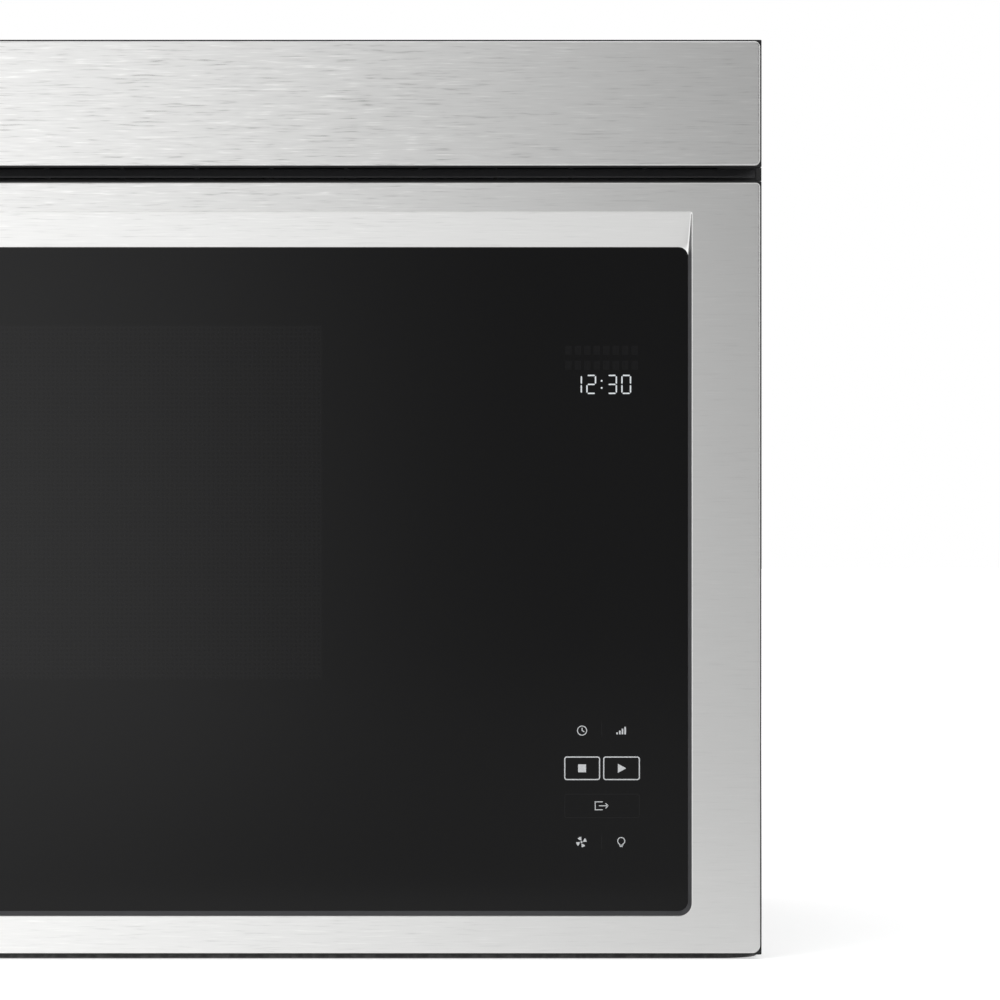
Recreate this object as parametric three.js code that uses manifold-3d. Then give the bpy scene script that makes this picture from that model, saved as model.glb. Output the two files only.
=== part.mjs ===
// Over the range microwave: millimetres, +Z up, door facing -Y, origin at the bottom centre of the case.
import * as THREE from "three";
import { mergeVertices } from "three/addons/utils/BufferGeometryUtils.js";
import Module from "manifold-3d";

const wasm = await Module();
wasm.setup();

// ------------------------------------------------------------------ driving dimensions
const width = 759;
const height = 440;
const depth = 406;
const seat = 0.3; // gap between pieces that bear on each other
const sheet = 1.2; // case and cavity steel
const boardThickness = 1.6;

const halfWidth = width / 2;
const faceY = -depth / 2;
const backY = depth / 2;

// Stainless skins of the door and the fascia
const skinSheet = 1.2;
const skinReveal = 0.7; // dark edge left showing round the stainless
const skinReturn = 5; // depth of the folded edge
const skinBend = 0.9; // radius of the folded edge
const skinHalf = halfWidth - skinReveal;
const skinBackY = faceY + skinReturn;
const backerY = skinBackY + seat;

// Door
const doorThickness = 22;
const doorBottom = 2.6;
const fasciaHeight = 59.8; // stainless above the door
const ventGap = 7.9; // between the door and the fascia
const fasciaTop = height - skinReveal;
const fasciaBottom = fasciaTop - fasciaHeight;
const doorTop = fasciaBottom - ventGap;
const doorBackY = faceY + doorThickness;
const doorRadiusLow = 3.8;
const doorRadiusHigh = 2.2;
const stileWidth = 32.9;
const topRail = 14.2;
const bottomRail = 18;
const recessDepth = 8;
const slopeHeight = 16.7; // the bezel above the glass leans back over this height
const sideDraft = 1.9;
const bottomDraft = 1.6;
const mouthRadiusLow = 6;
const mouthRadiusHigh = 1.5;
const glassRadius = 4.8;
const glassThickness = 4;
const glassLap = 6; // glass held behind the frame
const backerWall = 2;
const backSheet = 1.2;

// Door hinges
const hingeFromEdge = 9;
const hingeBehindFace = 12;
const heelClearance = 0.55;
const pinRadius = 2.5;
const leafThickness = 2;
const leafHalfWidth = 4;
const leafRise = 2.5; // leaf above the door's lower edge, and below its upper one
const pinLength = 18;
const pinPlay = 0.3;

const pivotX = hingeFromEdge - halfWidth;
const pivotY = faceY + hingeBehindFace;
const heelRadius = Math.hypot(hingeFromEdge, doorThickness - hingeBehindFace);

// Case
const plateY = pivotY + heelRadius + heelClearance;
const plateThickness = 1.5;
const bayFrontY = plateY + plateThickness + seat;
const caseInnerX = halfWidth - sheet;
const lidZ = height - sheet;
const baseThickness = 2;
const baseOverhangY = faceY + 4; // the base runs out under the door
const baseCornerRadius = 19;
const baseFlange = 12;
const rearInnerY = backY - sheet;
const lidRadius = 3.5;
const plateTop = doorTop - 0.6;
const plateShelf = 34;

// Fascia and vent
const fasciaRadius = 2.8;
const grilleWall = 2;
const ventRecess = 17; // louvre set back from the face
const louvrePitch = 36;
const louvreFin = 2;

// Cavity
const cavityWidth = 480;
const cavityDrop = 45.6; // roof of the cavity below the top of the door
const cavityDepth = 300;
const cavityRight = 195;
const cavityFloor = 111;
const cavityRadius = 12;
const cavityLeft = cavityRight - cavityWidth;
const cavityTop = doorTop - cavityDrop;
const cavityBackY = bayFrontY + cavityDepth;

// Electronics bay, right of the cavity
const bayLeft = cavityRight + sheet + seat;
const bayRight = caseInnerX - seat;
const bayCentre = (bayLeft + bayRight) / 2;
const bayFloorTop = cavityFloor - sheet;

// ------------------------------------------------------------------ solids from three.js geometry

/** Turns a closed geometry into a solid with its faces outward. */
function solidOf(geometry) {
  const bare = geometry.clone();
  bare.deleteAttribute("normal");
  bare.deleteAttribute("uv");
  const merged = mergeVertices(bare, 1e-4);
  const vertProperties = Float32Array.from(merged.attributes.position.array);
  const triangles = [];
  const corners = [new THREE.Vector3(), new THREE.Vector3(), new THREE.Vector3()];
  let volume = 0;
  for (let i = 0; i < merged.index.count; i += 3) {
    const triangle = [0, 1, 2].map((k) => merged.index.getX(i + k));
    if (new Set(triangle).size === 3) {
      triangle.forEach((vertex, k) => corners[k].fromArray(vertProperties, 3 * vertex));
      volume += corners[0].dot(corners[1].clone().cross(corners[2]));
      triangles.push(triangle);
    }
  }
  const outward = volume > 0 ? triangles : triangles.map(([a, b, c]) => [a, c, b]);
  const triVerts = Uint32Array.from(outward.flat());
  return new wasm.Manifold(new wasm.Mesh({ numProp: 3, vertProperties, triVerts }));
}

/** Gives a solid back as a geometry. */
function geometryOf(solid) {
  const mesh = solid.getMesh();
  const geometry = new THREE.BufferGeometry();
  geometry.setAttribute("position", new THREE.BufferAttribute(mesh.vertProperties, 3));
  geometry.setIndex(new THREE.BufferAttribute(mesh.triVerts, 1));
  geometry.computeVertexNormals();
  return geometry;
}

function join(first, ...others) {
  return others.reduce((body, other) => body.add(other), first);
}

function cut(body, ...tools) {
  return tools.reduce((rest, tool) => rest.subtract(tool), body);
}

/** A range of the given length about a centre. */
function span(centre, length) {
  return [centre - length / 2, centre + length / 2];
}

/** A box over three ranges. */
function block([x0, x1], [y0, y1], [z0, z1]) {
  const box = new THREE.BoxGeometry(x1 - x0, y1 - y0, z1 - z0);
  box.translate((x0 + x1) / 2, (y0 + y1) / 2, (z0 + z1) / 2);
  return solidOf(box);
}

/** A cylinder or cone along an axis; the centre gives the two other coordinates in x, y, z order. */
function rod(axis, radius, [from, to], [a, b], sides = 20, endRadius = radius) {
  const cylinder = new THREE.CylinderGeometry(endRadius, radius, to - from, sides);
  cylinder.translate(0, (from + to) / 2, 0);
  if (axis === "x") {
    cylinder.rotateZ(-Math.PI / 2);
    cylinder.translate(0, a, b);
  } else if (axis === "z") {
    cylinder.rotateX(Math.PI / 2);
    cylinder.translate(a, b, 0);
  } else {
    cylinder.translate(a, 0, b);
  }
  return solidOf(cylinder);
}

const slabFrames = {
  x: [new THREE.Vector3(0, 1, 0), new THREE.Vector3(0, 0, 1), new THREE.Vector3(1, 0, 0)],
  y: [new THREE.Vector3(1, 0, 0), new THREE.Vector3(0, 0, 1), new THREE.Vector3(0, -1, 0)],
  z: [new THREE.Vector3(1, 0, 0), new THREE.Vector3(0, 1, 0), new THREE.Vector3(0, 0, 1)],
};

/** A flat shape, drawn in the two other axes in x, y, z order, extruded along an axis. */
function slab(axis, shape, [from, to], curveSegments = 6) {
  const options = { depth: to - from, bevelEnabled: false, curveSegments };
  const geometry = new THREE.ExtrudeGeometry(shape, options);
  const [u, v, w] = slabFrames[axis];
  const start = axis === "y" ? to : from;
  const place = new THREE.Matrix4().makeBasis(u, v, w);
  const offset = { x: [start, 0, 0], y: [0, start, 0], z: [0, 0, start] }[axis];
  place.setPosition(...offset);
  return solidOf(geometry.applyMatrix4(place));
}

/** A closed profile of [radius, height] points turned about +Z. */
function turned(profile, sides = 48) {
  const points = profile.map(([radius, z]) => new THREE.Vector2(radius, z));
  const lathe = new THREE.LatheGeometry([...points, points[0]], sides);
  return solidOf(lathe.rotateX(Math.PI / 2));
}

/** A rectangle in X and Z with its own radius at the low and the high corners. */
function rect(x, z, low, high = low) {
  return { x, z, low, high };
}

/** The same rectangle, larger by a margin all round; a negative margin makes it smaller. */
function grow({ x, z, low, high }, margin) {
  const leastRadius = 0.3;
  return {
    x: [x[0] - margin, x[1] + margin],
    z: [z[0] - margin, z[1] + margin],
    low: Math.max(low + margin, leastRadius),
    high: Math.max(high + margin, leastRadius),
  };
}

/** Points round a rectangle with rounded corners, at one depth. */
function ring({ x, z, low, high }, y) {
  const cornerSteps = 3;
  const corners = [
    [x[1] - low, z[0] + low, low],
    [x[1] - high, z[1] - high, high],
    [x[0] + high, z[1] - high, high],
    [x[0] + low, z[0] + low, low],
  ];
  const points = [];
  corners.forEach(([cx, cz, radius], corner) => {
    for (let step = 0; step <= cornerSteps; step += 1) {
      const angle = (corner - 1 + step / cornerSteps) * (Math.PI / 2);
      points.push([cx + radius * Math.cos(angle), y, cz + radius * Math.sin(angle)]);
    }
  });
  return points;
}

/** A closed skin over rings that have the same number of points. */
function loft(rings) {
  const count = rings[0].length;
  const triangles = [];
  for (let level = 0; level + 1 < rings.length; level += 1) {
    for (let i = 0; i < count; i += 1) {
      const next = (i + 1) % count;
      const [a, b] = [level * count + i, level * count + next];
      triangles.push(a, b, b + count, a, b + count, a + count);
    }
  }
  const last = (rings.length - 1) * count;
  for (let i = 1; i + 1 < count; i += 1) {
    triangles.push(0, i + 1, i, last, last + i, last + i + 1);
  }
  const geometry = new THREE.BufferGeometry();
  geometry.setAttribute("position", new THREE.Float32BufferAttribute(rings.flat(2), 3));
  geometry.setIndex(triangles);
  return solidOf(geometry);
}

/** A plate with rounded corners over a range of depth. */
function panel(outline, [y0, y1]) {
  return loft([ring(outline, y0), ring(outline, y1)]);
}

/** Rings of an outline whose front edge is rounded; the sign is -1 where the edge flares outward. */
function bentEdge(outline, frontY, radius, sign = 1) {
  const steps = 3;
  const rings = [];
  for (let step = 0; step <= steps; step += 1) {
    const angle = (step / steps) * (Math.PI / 2);
    const inset = radius * (1 - Math.sin(angle));
    rings.push(ring(grow(outline, -sign * inset), frontY + radius * (1 - Math.cos(angle))));
  }
  return rings;
}

/** Copies of a solid at equal angles about an axis through the origin. */
function aroundZ(solid, count) {
  return Array.from({ length: count }, (_, i) => solid.rotate([0, 0, (360 * i) / count]));
}

// ------------------------------------------------------------------ finishes

const finish = (color, roughness, metalness, more = {}) => () =>
  new THREE.MeshStandardMaterial({ color, roughness, metalness, ...more });

const stainless = finish(0xbfbfbd, 0.32, 1);
const zincSteel = finish(0xa9abad, 0.45, 0.9);
const blackPaint = finish(0x1b1b1c, 0.5, 0.2);
const greyPaint = finish(0x8f9091, 0.55, 0.3);
const cavityPaint = finish(0xb9b8b3, 0.4, 0.2);
const blackPlastic = finish(0x161617, 0.45, 0);
const whitePlastic = finish(0xd9d8d2, 0.5, 0);
const darkGlass = finish(0x101112, 0.08, 0);
const clearGlass = finish(0xdfe6e4, 0.05, 0, { transparent: true, opacity: 0.35 });
const aluminium = finish(0xc4c6c8, 0.4, 1);
const castBlack = finish(0x242425, 0.6, 0.4);
const mica = finish(0x9c9484, 0.6, 0);
const rubber = finish(0x1a1a1a, 0.85, 0);
const boardGreen = finish(0x1f5a38, 0.6, 0);
const carbon = finish(0x2a2a2b, 0.9, 0);
const lampGlass = finish(0xf3ead2, 0.2, 0);

const microwave = new THREE.Group();

/** Adds a named piece to a group of the scene. */
function piece(name, solid, material, parent = microwave) {
  const mesh = new THREE.Mesh(geometryOf(solid), material());
  mesh.name = name;
  parent.add(mesh);
  return mesh;
}

// ------------------------------------------------------------------ stainless skins

/** A pressed skin: a flat face with a bent edge, hollow behind. */
function pressedSkin(outline) {
  const behind = skinBackY + 1;
  const edge = bentEdge(outline, faceY, skinBend);
  const body = loft([...edge, ring(outline, skinBackY)]);
  return cut(body, panel(grow(outline, -skinSheet), [faceY + skinSheet, behind]));
}

const fasciaOutline = rect([-skinHalf, skinHalf], [fasciaBottom, fasciaTop], fasciaRadius);
const doorOutline = rect([-skinHalf, skinHalf], [doorBottom, doorTop], doorRadiusLow, doorRadiusHigh);

// The recess in the door face: its mouth, and its floor on the glass
const mouthHalf = skinHalf - stileWidth;
const mouthLow = doorBottom + bottomRail;
const mouthHigh = doorTop - topRail;
const recessMouth = rect([-mouthHalf, mouthHalf], [mouthLow, mouthHigh], mouthRadiusLow, mouthRadiusHigh);
const floorHalf = mouthHalf - sideDraft;
const floorLow = mouthLow + bottomDraft;
const floorHigh = mouthHigh - slopeHeight;
const recessFloor = rect([-floorHalf, floorHalf], [floorLow, floorHigh], glassRadius);
const recessFloorY = faceY + recessDepth;

/** The air in front of the glass, with a flared front edge. */
function recessAir() {
  const flare = bentEdge(recessMouth, faceY, skinBend, -1);
  const proud = ring(grow(recessMouth, skinBend), faceY - 1);
  return loft([proud, ...flare, ring(recessFloor, recessFloorY), ring(recessFloor, recessFloorY + 1)]);
}

function doorOuterFrame() {
  const wallFront = faceY + skinSheet / 2;
  const wall = loft([
    ring(grow(recessMouth, skinSheet), wallFront),
    ring(grow(recessFloor, skinSheet), recessFloorY),
  ]);
  return cut(join(pressedSkin(doorOutline), wall), recessAir());
}

// ------------------------------------------------------------------ door inside

const glassFrontY = recessFloorY + seat;
const glassBackY = glassFrontY + glassThickness;
const glassOutline = grow(recessFloor, glassLap);

// Window and choke, set out from the cavity mouth
const windowInsetX = 26.7;
const windowInsetZ = 22.6;
const windowX = [cavityLeft + windowInsetX, cavityRight - windowInsetX];
const windowZ = [cavityFloor + windowInsetZ, cavityTop - windowInsetZ];
const chokeReach = 27;
const chokeX = [cavityLeft - chokeReach, cavityRight + chokeReach];
const chokeZ = [cavityFloor - chokeReach, cavityTop + chokeReach];
const chokeOutline = rect(chokeX, chokeZ, 10);
const chokeInner = grow(rect([cavityLeft, cavityRight], [cavityFloor, cavityTop], 4), 3);
const chokeDepth = 9;
const chokeFrontY = doorBackY - chokeDepth;
const chokeSheet = 1.2;
const chokeFlange = 11;
const chokeSlot = 3;
const chokeSlotPitch = 120;
const windowOutline = rect(windowX, windowZ, 6);
const screenLap = 5;
const screenThickness = 0.8;
const coverThickness = 2.5;
const coverBackY = doorBackY + coverThickness;
const innerPaneThickness = 1.8;

// Control column behind the glass
const boardFromGlassEdge = 14;
const boardWidth = 54;
const boardFromBottom = 39.4;
const boardFromTop = 65.6;
const displayInset = 7; // of the display from the sides of the board
const displayFromTop = 8;
const displayHeight = 32;
const displayDepth = 3.2;
const padSize = [14, 12];
const padColumns = [17, 37]; // from the side of the board
const padRows = [18, 42, 66, 90]; // from the foot of the board
const bossInset = [6, 8];
const bossRadius = 3;
const controlBoardX = [floorHalf - boardFromGlassEdge - boardWidth, floorHalf - boardFromGlassEdge];
const controlBoardZ = [doorBottom + boardFromBottom, doorTop - boardFromTop];
const displayX = [controlBoardX[0] + displayInset, controlBoardX[1] - displayInset];
const displayTop = controlBoardZ[1] - displayFromTop;
const displayZ = [displayTop - displayHeight, displayTop];
const controlBoardY = glassBackY + 2 * seat + displayDepth;

// Latch: hooks at two heights in one plane
const hookHeights = [cavityFloor + 54, cavityTop - 36];
const hookX = cavityRight + 37;
const hookThickness = 5;
const hookHeight = 8;
const hookDrop = 5; // catch below the arm
const latchTravel = 4;
const catchLength = 24;
const strikeLength = 7;
const strikeFrontY = bayFrontY + 17.2;
const strikeBackY = strikeFrontY + strikeLength;
const catchFrontY = strikeBackY + 1;
const catchBackY = catchFrontY + catchLength;
const spineDepth = 5.5;
const spineBackY = doorBackY - backSheet - seat;
const slotPlay = 1.5;
const slotSweep = 3; // the hooks swing out by this much as the door leaves the case

/** A slot in an upright sheet for a hook that has its arm at this height. */
function hookSlot(z, yRange) {
  const left = hookX - hookThickness / 2 - slotPlay;
  const right = hookX + hookThickness / 2 + slotPlay + slotSweep;
  return block([left, right], yRange, [z - hookDrop - slotPlay, z + hookHeight + slotPlay]);
}

const leafLow = doorBottom + seat + backerWall + leafRise;
const leafHigh = doorTop - seat - backerWall - leafRise;

/** The door's bearing block for one hinge; up is 1 at the lower hinge and -1 at the upper one. */
function hingeBearing(leafZ, up) {
  const blockBase = leafZ + up * (leafThickness / 2 + seat);
  const blockEnd = blockBase + up * (pinLength + 4);
  const z = [Math.min(blockBase, blockEnd), Math.max(blockBase, blockEnd)];
  const rightX = pivotX + leafHalfWidth + 3;
  return block([-halfWidth + backerWall / 2, rightX], [backerY, doorBackY - backSheet / 2], z);
}

function hingeBore(leafZ, up) {
  const ends = [leafZ, leafZ + up * (pinLength + 2)];
  const z = [Math.min(...ends), Math.max(...ends)];
  return rod("z", pinRadius + pinPlay, z, [pivotX, pivotY], 16);
}

/** Room for a hinge leaf, which swings out through the door's side as the door opens. */
function hingePocket(leafZ) {
  const x = [-halfWidth - 1, pivotX + leafHalfWidth + 6];
  return block(x, [backerY - 1, doorBackY + 1], span(leafZ, leafThickness + 2 * seat));
}

function doorInnerFrame() {
  const z = [doorBottom + seat, doorTop - seat];
  const outline = rect([-halfWidth, halfWidth], z, doorRadiusLow, doorRadiusHigh);
  const shell = panel(outline, [backerY, doorBackY]);
  const hollow = panel(grow(outline, -backerWall), [backerY - 1, doorBackY - backSheet]);
  const [bossX, bossZ] = bossInset;
  const bosses = [controlBoardZ[0] + bossZ, controlBoardZ[1] - bossZ].flatMap((z) =>
    [controlBoardX[0] + bossX, controlBoardX[1] - bossX].map((x) => {
      const y = [controlBoardY + boardThickness + seat, doorBackY - backSheet / 2];
      return rod("y", bossRadius, y, [x, z], 10);
    }),
  );
  const bearings = [hingeBearing(leafLow, 1), hingeBearing(leafHigh, -1)];
  const slots = hookHeights.map((z) => hookSlot(z, [doorBackY - backSheet - 1, doorBackY + 1]));
  return cut(
    join(cut(shell, hollow), ...bosses, ...bearings),
    panel(grow(chokeOutline, seat), [doorBackY - backSheet - 1, doorBackY + 1]),
    ...slots,
    hingePocket(leafLow),
    hingePocket(leafHigh),
    hingeBore(leafLow, 1),
    hingeBore(leafHigh, -1),
  );
}

/** Slots through the choke's folded edge, along all four sides. */
function chokeSlots() {
  const y = [doorBackY - 2 * chokeSheet, doorBackY + 1];
  const slots = [];
  const inset = chokeSheet + chokeFlange;
  const [x0, x1] = chokeX;
  const [z0, z1] = chokeZ;
  const across = Math.floor((x1 - x0 - 2 * inset) / chokeSlotPitch);
  const upward = Math.floor((z1 - z0 - 2 * inset) / chokeSlotPitch);
  for (let i = 0; i <= across; i += 1) {
    const x = span((x0 + x1) / 2 + (i - across / 2) * chokeSlotPitch, chokeSlot);
    slots.push(block(x, y, [z0 + 2 * chokeSheet, z0 + inset + 1]));
    slots.push(block(x, y, [z1 - inset - 1, z1 - 2 * chokeSheet]));
  }
  for (let i = 0; i <= upward; i += 1) {
    const z = span((z0 + z1) / 2 + (i - upward / 2) * chokeSlotPitch, chokeSlot);
    slots.push(block([x0 + 2 * chokeSheet, x0 + inset + 1], y, z));
    slots.push(block([x1 - inset - 1, x1 - 2 * chokeSheet], y, z));
  }
  return slots;
}

const paneSeatY = doorBackY - chokeSheet - seat;

function doorChoke() {
  const tray = panel(chokeOutline, [chokeFrontY, doorBackY - seat]);
  const troughOuter = panel(grow(chokeOutline, -chokeSheet), [chokeFrontY + chokeSheet, doorBackY]);
  const island = panel(chokeInner, [chokeFrontY, doorBackY - seat]);
  const islandHollow = panel(grow(chokeInner, -chokeSheet), [chokeFrontY - 1, paneSeatY]);
  const flange = cut(
    panel(chokeOutline, [doorBackY - seat - chokeSheet, doorBackY - seat]),
    panel(grow(chokeOutline, -chokeSheet - chokeFlange), [doorBackY - 3 * chokeSheet, doorBackY + 1]),
  );
  const windowHole = panel(windowOutline, [chokeFrontY - 1, doorBackY + 1]);
  const body = cut(join(cut(tray, troughOuter), island, flange), islandHollow, windowHole);
  return cut(body, ...chokeSlots());
}

function chokeCover() {
  const outer = grow(chokeOutline, -1);
  const edge = 1;
  const body = loft([
    ring(outer, doorBackY),
    ring(outer, coverBackY - edge),
    ring(grow(outer, -edge), coverBackY),
  ]);
  return cut(body, panel(grow(chokeInner, -6), [doorBackY - 1, coverBackY + 1]));
}

function windowScreen() {
  const back = paneSeatY - seat;
  return panel(grow(windowOutline, screenLap), [back - screenThickness, back]);
}

function innerWindow() {
  return panel(grow(chokeInner, -6 - seat), [doorBackY, doorBackY + innerPaneThickness]);
}

function controlBoard() {
  const y = [controlBoardY, controlBoardY + boardThickness];
  const board = block(controlBoardX, y, controlBoardZ);
  const [padWidth, padHeight] = padSize;
  const padY = [controlBoardY - 1.2, controlBoardY + 0.5];
  const pads = padRows.flatMap((row) =>
    padColumns.map((column) => {
      const z = span(controlBoardZ[0] + row, padHeight);
      return block(span(controlBoardX[0] + column, padWidth), padY, z);
    }),
  );
  return join(board, ...pads);
}

function displayModule() {
  const body = block(displayX, [glassBackY + seat, glassBackY + seat + displayDepth], displayZ);
  const [rim, lensDepth] = [2, 0.8];
  const window = block(
    [displayX[0] + rim, displayX[1] - rim],
    [glassBackY, glassBackY + lensDepth],
    [displayZ[0] + rim, displayZ[1] - rim],
  );
  return cut(body, window);
}

function latchKey() {
  const x = span(hookX, hookThickness);
  const [low, high] = [Math.min(...hookHeights), Math.max(...hookHeights)];
  const spine = block(x, [spineBackY - spineDepth, spineBackY], [low - 8, high + hookHeight + 6]);
  const arms = hookHeights.flatMap((z) => [
    block(x, [spineBackY - 1, catchBackY], [z, z + hookHeight]),
    block(x, [catchFrontY, catchBackY], [z - hookDrop, z + 1]),
  ]);
  return join(spine, ...arms);
}

// ------------------------------------------------------------------ hinges

/** A hinge bracket: a leaf through the front plate with a pin, and a tab behind the plate. */
function hinge(leafZ, up) {
  const z = span(leafZ, leafThickness);
  const x = span(pivotX, 2 * leafHalfWidth);
  const [tabHeight, tabReach] = [40, 12];
  const tabEnds = [leafZ - up * (leafThickness / 2), leafZ + up * tabHeight];
  const pinEnds = [leafZ, leafZ + up * pinLength];
  return join(
    block(x, [pivotY, bayFrontY + 2], z),
    rod("z", leafHalfWidth, z, [pivotX, pivotY], 16),
    rod("z", pinRadius, [Math.min(...pinEnds), Math.max(...pinEnds)], [pivotX, pivotY], 16),
    block([x[0], x[1] + tabReach], [bayFrontY, bayFrontY + 2], [Math.min(...tabEnds), Math.max(...tabEnds)]),
  );
}

/** The slot in the front plate that a hinge leaf passes. */
function leafSlot(leafZ) {
  const x = span(pivotX, 2 * leafHalfWidth + 2);
  return block(x, [plateY - 1, bayFrontY + 1], span(leafZ, leafThickness + 1));
}

// ------------------------------------------------------------------ blower sizes, shared with the lid

const ductWidth = 254;
const ductDepth = 83;
const blowerSheet = 1.2;
const scrollStart = 45.5;
const scrollGrowth = 10.5;
const tongueAngle = (150 * Math.PI) / 180;
const motorBay = 60; // between the two scrolls
const blowerSetback = 85; // shaft in front of the back wall
const blowerY = backY - blowerSetback;
const scrollTurn = 2 * Math.PI - tongueAngle;
const scrollRadius = (angle) => scrollStart + (scrollGrowth * (angle - tongueAngle)) / scrollTurn;
const blowerZ = cavityTop + sheet + seat + blowerSheet + scrollRadius(1.5 * Math.PI);
const ductBackY = blowerY + scrollRadius(2 * Math.PI);
const ductFrontY = ductBackY - ductDepth;
const scrollTop = lidZ - seat;

// ------------------------------------------------------------------ case

const bushingX = halfWidth - 79.5;
const bushingY = backY - 53;
const bushingRadius = 14;
const boltX = 230;
const boltY = faceY + 143;

function outerWrap() {
  const below = -20;
  const outside = rect([-halfWidth, halfWidth], [2 * below, height], 1, lidRadius);
  const inside = rect([-caseInnerX, caseInnerX], [3 * below, lidZ], 1, lidRadius - sheet);
  const shell = cut(
    panel(outside, [plateY, backY]),
    panel(inside, [plateY - 1, backY + 1]),
    block([-width, width], [plateY - 1, backY + 1], [3 * below, 0]),
  );
  const through = [lidZ - 1, height + 1];
  const exhaust = block(span(0, ductWidth), [ductFrontY, ductBackY], through);
  const bolts = [-boltX, boltX].map((x) => rod("z", 4, through, [x, boltY], 12));
  return cut(shell, exhaust, rod("z", bushingRadius, through, [bushingX, bushingY], 24), ...bolts);
}

function cordBushing() {
  const lip = 3;
  const collar = rod("z", bushingRadius - seat, [lidZ - 8, height], [bushingX, bushingY], 16);
  const flange = rod("z", bushingRadius + 4, [lidZ - seat - lip, lidZ - seat], [bushingX, bushingY], 16);
  return cut(join(collar, flange), rod("z", 6, [lidZ - 9, height + 1], [bushingX, bushingY], 12));
}

// Openings in the base, one pair each for the filters and the lamps
const filterWidth = 194;
const filterDepth = 127;
const filterX = 158;
const filterY = backY - 163;
const filterPlay = 0.5;
const lampCoverWidth = 96;
const lampCoverDepth = 62;
const lampX = filterX;
const lampY = faceY + 88;

function basePan() {
  const outline = new THREE.Shape();
  const x = caseInnerX - seat;
  const corner = baseCornerRadius;
  outline.moveTo(-x, backY);
  outline.lineTo(-x, baseOverhangY + corner);
  outline.absarc(-x + corner, baseOverhangY + corner, corner, Math.PI, 1.5 * Math.PI);
  outline.absarc(x - corner, baseOverhangY + corner, corner, 1.5 * Math.PI, 2 * Math.PI);
  outline.lineTo(x, backY);
  const plate = slab("z", outline, [0, baseThickness], 8);
  const flangeY = [bayFrontY, rearInnerY - seat];
  const flanges = [
    block([-x, -x + sheet], flangeY, [0, baseFlange]),
    block([x - sheet, x], flangeY, [0, baseFlange]),
    block([-x, x], [rearInnerY - seat - sheet, rearInnerY - seat], [0, baseFlange]),
  ];
  const holes = [-1, 1].flatMap((side) => [
    block(
      span(side * filterX, filterWidth + 2 * filterPlay),
      span(filterY, filterDepth + 2 * filterPlay),
      [-1, baseThickness + 1],
    ),
    block(
      span(side * lampX, lampCoverWidth + 2 * filterPlay),
      span(lampY, lampCoverDepth + 2 * filterPlay),
      [-1, baseThickness + 1],
    ),
  ]);
  return cut(join(plate, ...flanges), ...holes);
}

const hangerInsets = [49.5, 189.5]; // from the sides of the case
const hangerSlots = hangerInsets.flatMap((inset) => [inset - halfWidth, halfWidth - inset]);
const hangerZ = [16, 25];

function rearPanel() {
  const x = caseInnerX - seat;
  const outline = rect([-x, x], [baseThickness + seat, lidZ - seat], 1, lidRadius);
  const plate = panel(outline, [rearInnerY, backY]);
  const slots = hangerSlots.map((x) => block(span(x, 28), [rearInnerY - 1, backY + 1], hangerZ));
  return cut(plate, ...slots);
}

function frontPlate() {
  const x = caseInnerX - seat;
  const plate = block([-x, x], [plateY, plateY + plateThickness], [baseThickness + seat, plateTop]);
  const shelf = block([-x, x], [plateY, plateY + plateShelf], [plateTop - sheet, plateTop]);
  const mouth = rect([cavityLeft, cavityRight], [cavityFloor, cavityTop], cavityRadius);
  const through = [plateY - 1, plateY + plateThickness + 1];
  return cut(
    join(plate, shelf),
    panel(mouth, through),
    ...hookHeights.map((z) => hookSlot(z, through)),
    leafSlot(leafLow),
    leafSlot(leafHigh),
  );
}

function bayFloor() {
  const y = [bayFrontY, rearInnerY - seat];
  const plate = block([bayLeft, bayRight], y, [bayFloorTop - sheet, bayFloorTop]);
  const lip = block([bayRight - sheet, bayRight], y, [bayFloorTop - baseFlange, bayFloorTop]);
  return join(plate, lip);
}

// ------------------------------------------------------------------ fascia and vent

function ventGrille() {
  const outline = rect([-halfWidth, halfWidth], [fasciaBottom + seat, height], fasciaRadius, lidRadius);
  const backEnd = plateY - seat;
  const louvreY = faceY + ventRecess;
  const bottom = doorTop + 0.8;
  const ceiling = fasciaBottom + seat + grilleWall;
  const shell = panel(outline, [backerY, backEnd]);
  const hollow = panel(grow(outline, -grilleWall), [backerY + grilleWall, backEnd + 1]);
  const louvre = block([-halfWidth, halfWidth], [louvreY, backEnd], [bottom, ceiling]);
  const slots = [];
  const count = Math.floor((width - 2 * louvreFin) / louvrePitch);
  for (let i = 0; i < count; i += 1) {
    const x = span((i + 0.5 - count / 2) * louvrePitch, louvrePitch - louvreFin);
    slots.push(block(x, [louvreY - 1, backEnd + 1], [bottom + louvreFin, fasciaBottom]));
  }
  return cut(join(cut(shell, hollow), louvre), ...slots);
}

const charcoalWidth = 280;
const charcoalHeight = 62;
const charcoalDepth = 20;

function charcoalFilter() {
  const frontY = plateY + 4;
  const z = [plateTop + seat, plateTop + seat + charcoalHeight];
  const body = block(span(0, charcoalWidth), [frontY, frontY + charcoalDepth], z);
  const pockets = [];
  const columns = 5;
  const pitch = (charcoalWidth - 8) / columns;
  for (let i = 0; i < columns; i += 1) {
    const x = span((i + 0.5 - columns / 2) * pitch, pitch - 4);
    pockets.push(block(x, [frontY - 1, frontY + 3], [z[0] + 5, z[1] - 5]));
    pockets.push(block(x, [frontY + charcoalDepth - 3, frontY + charcoalDepth + 1], [z[0] + 5, z[1] - 5]));
  }
  return cut(body, ...pockets);
}

// ------------------------------------------------------------------ cavity and microwave source

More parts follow.
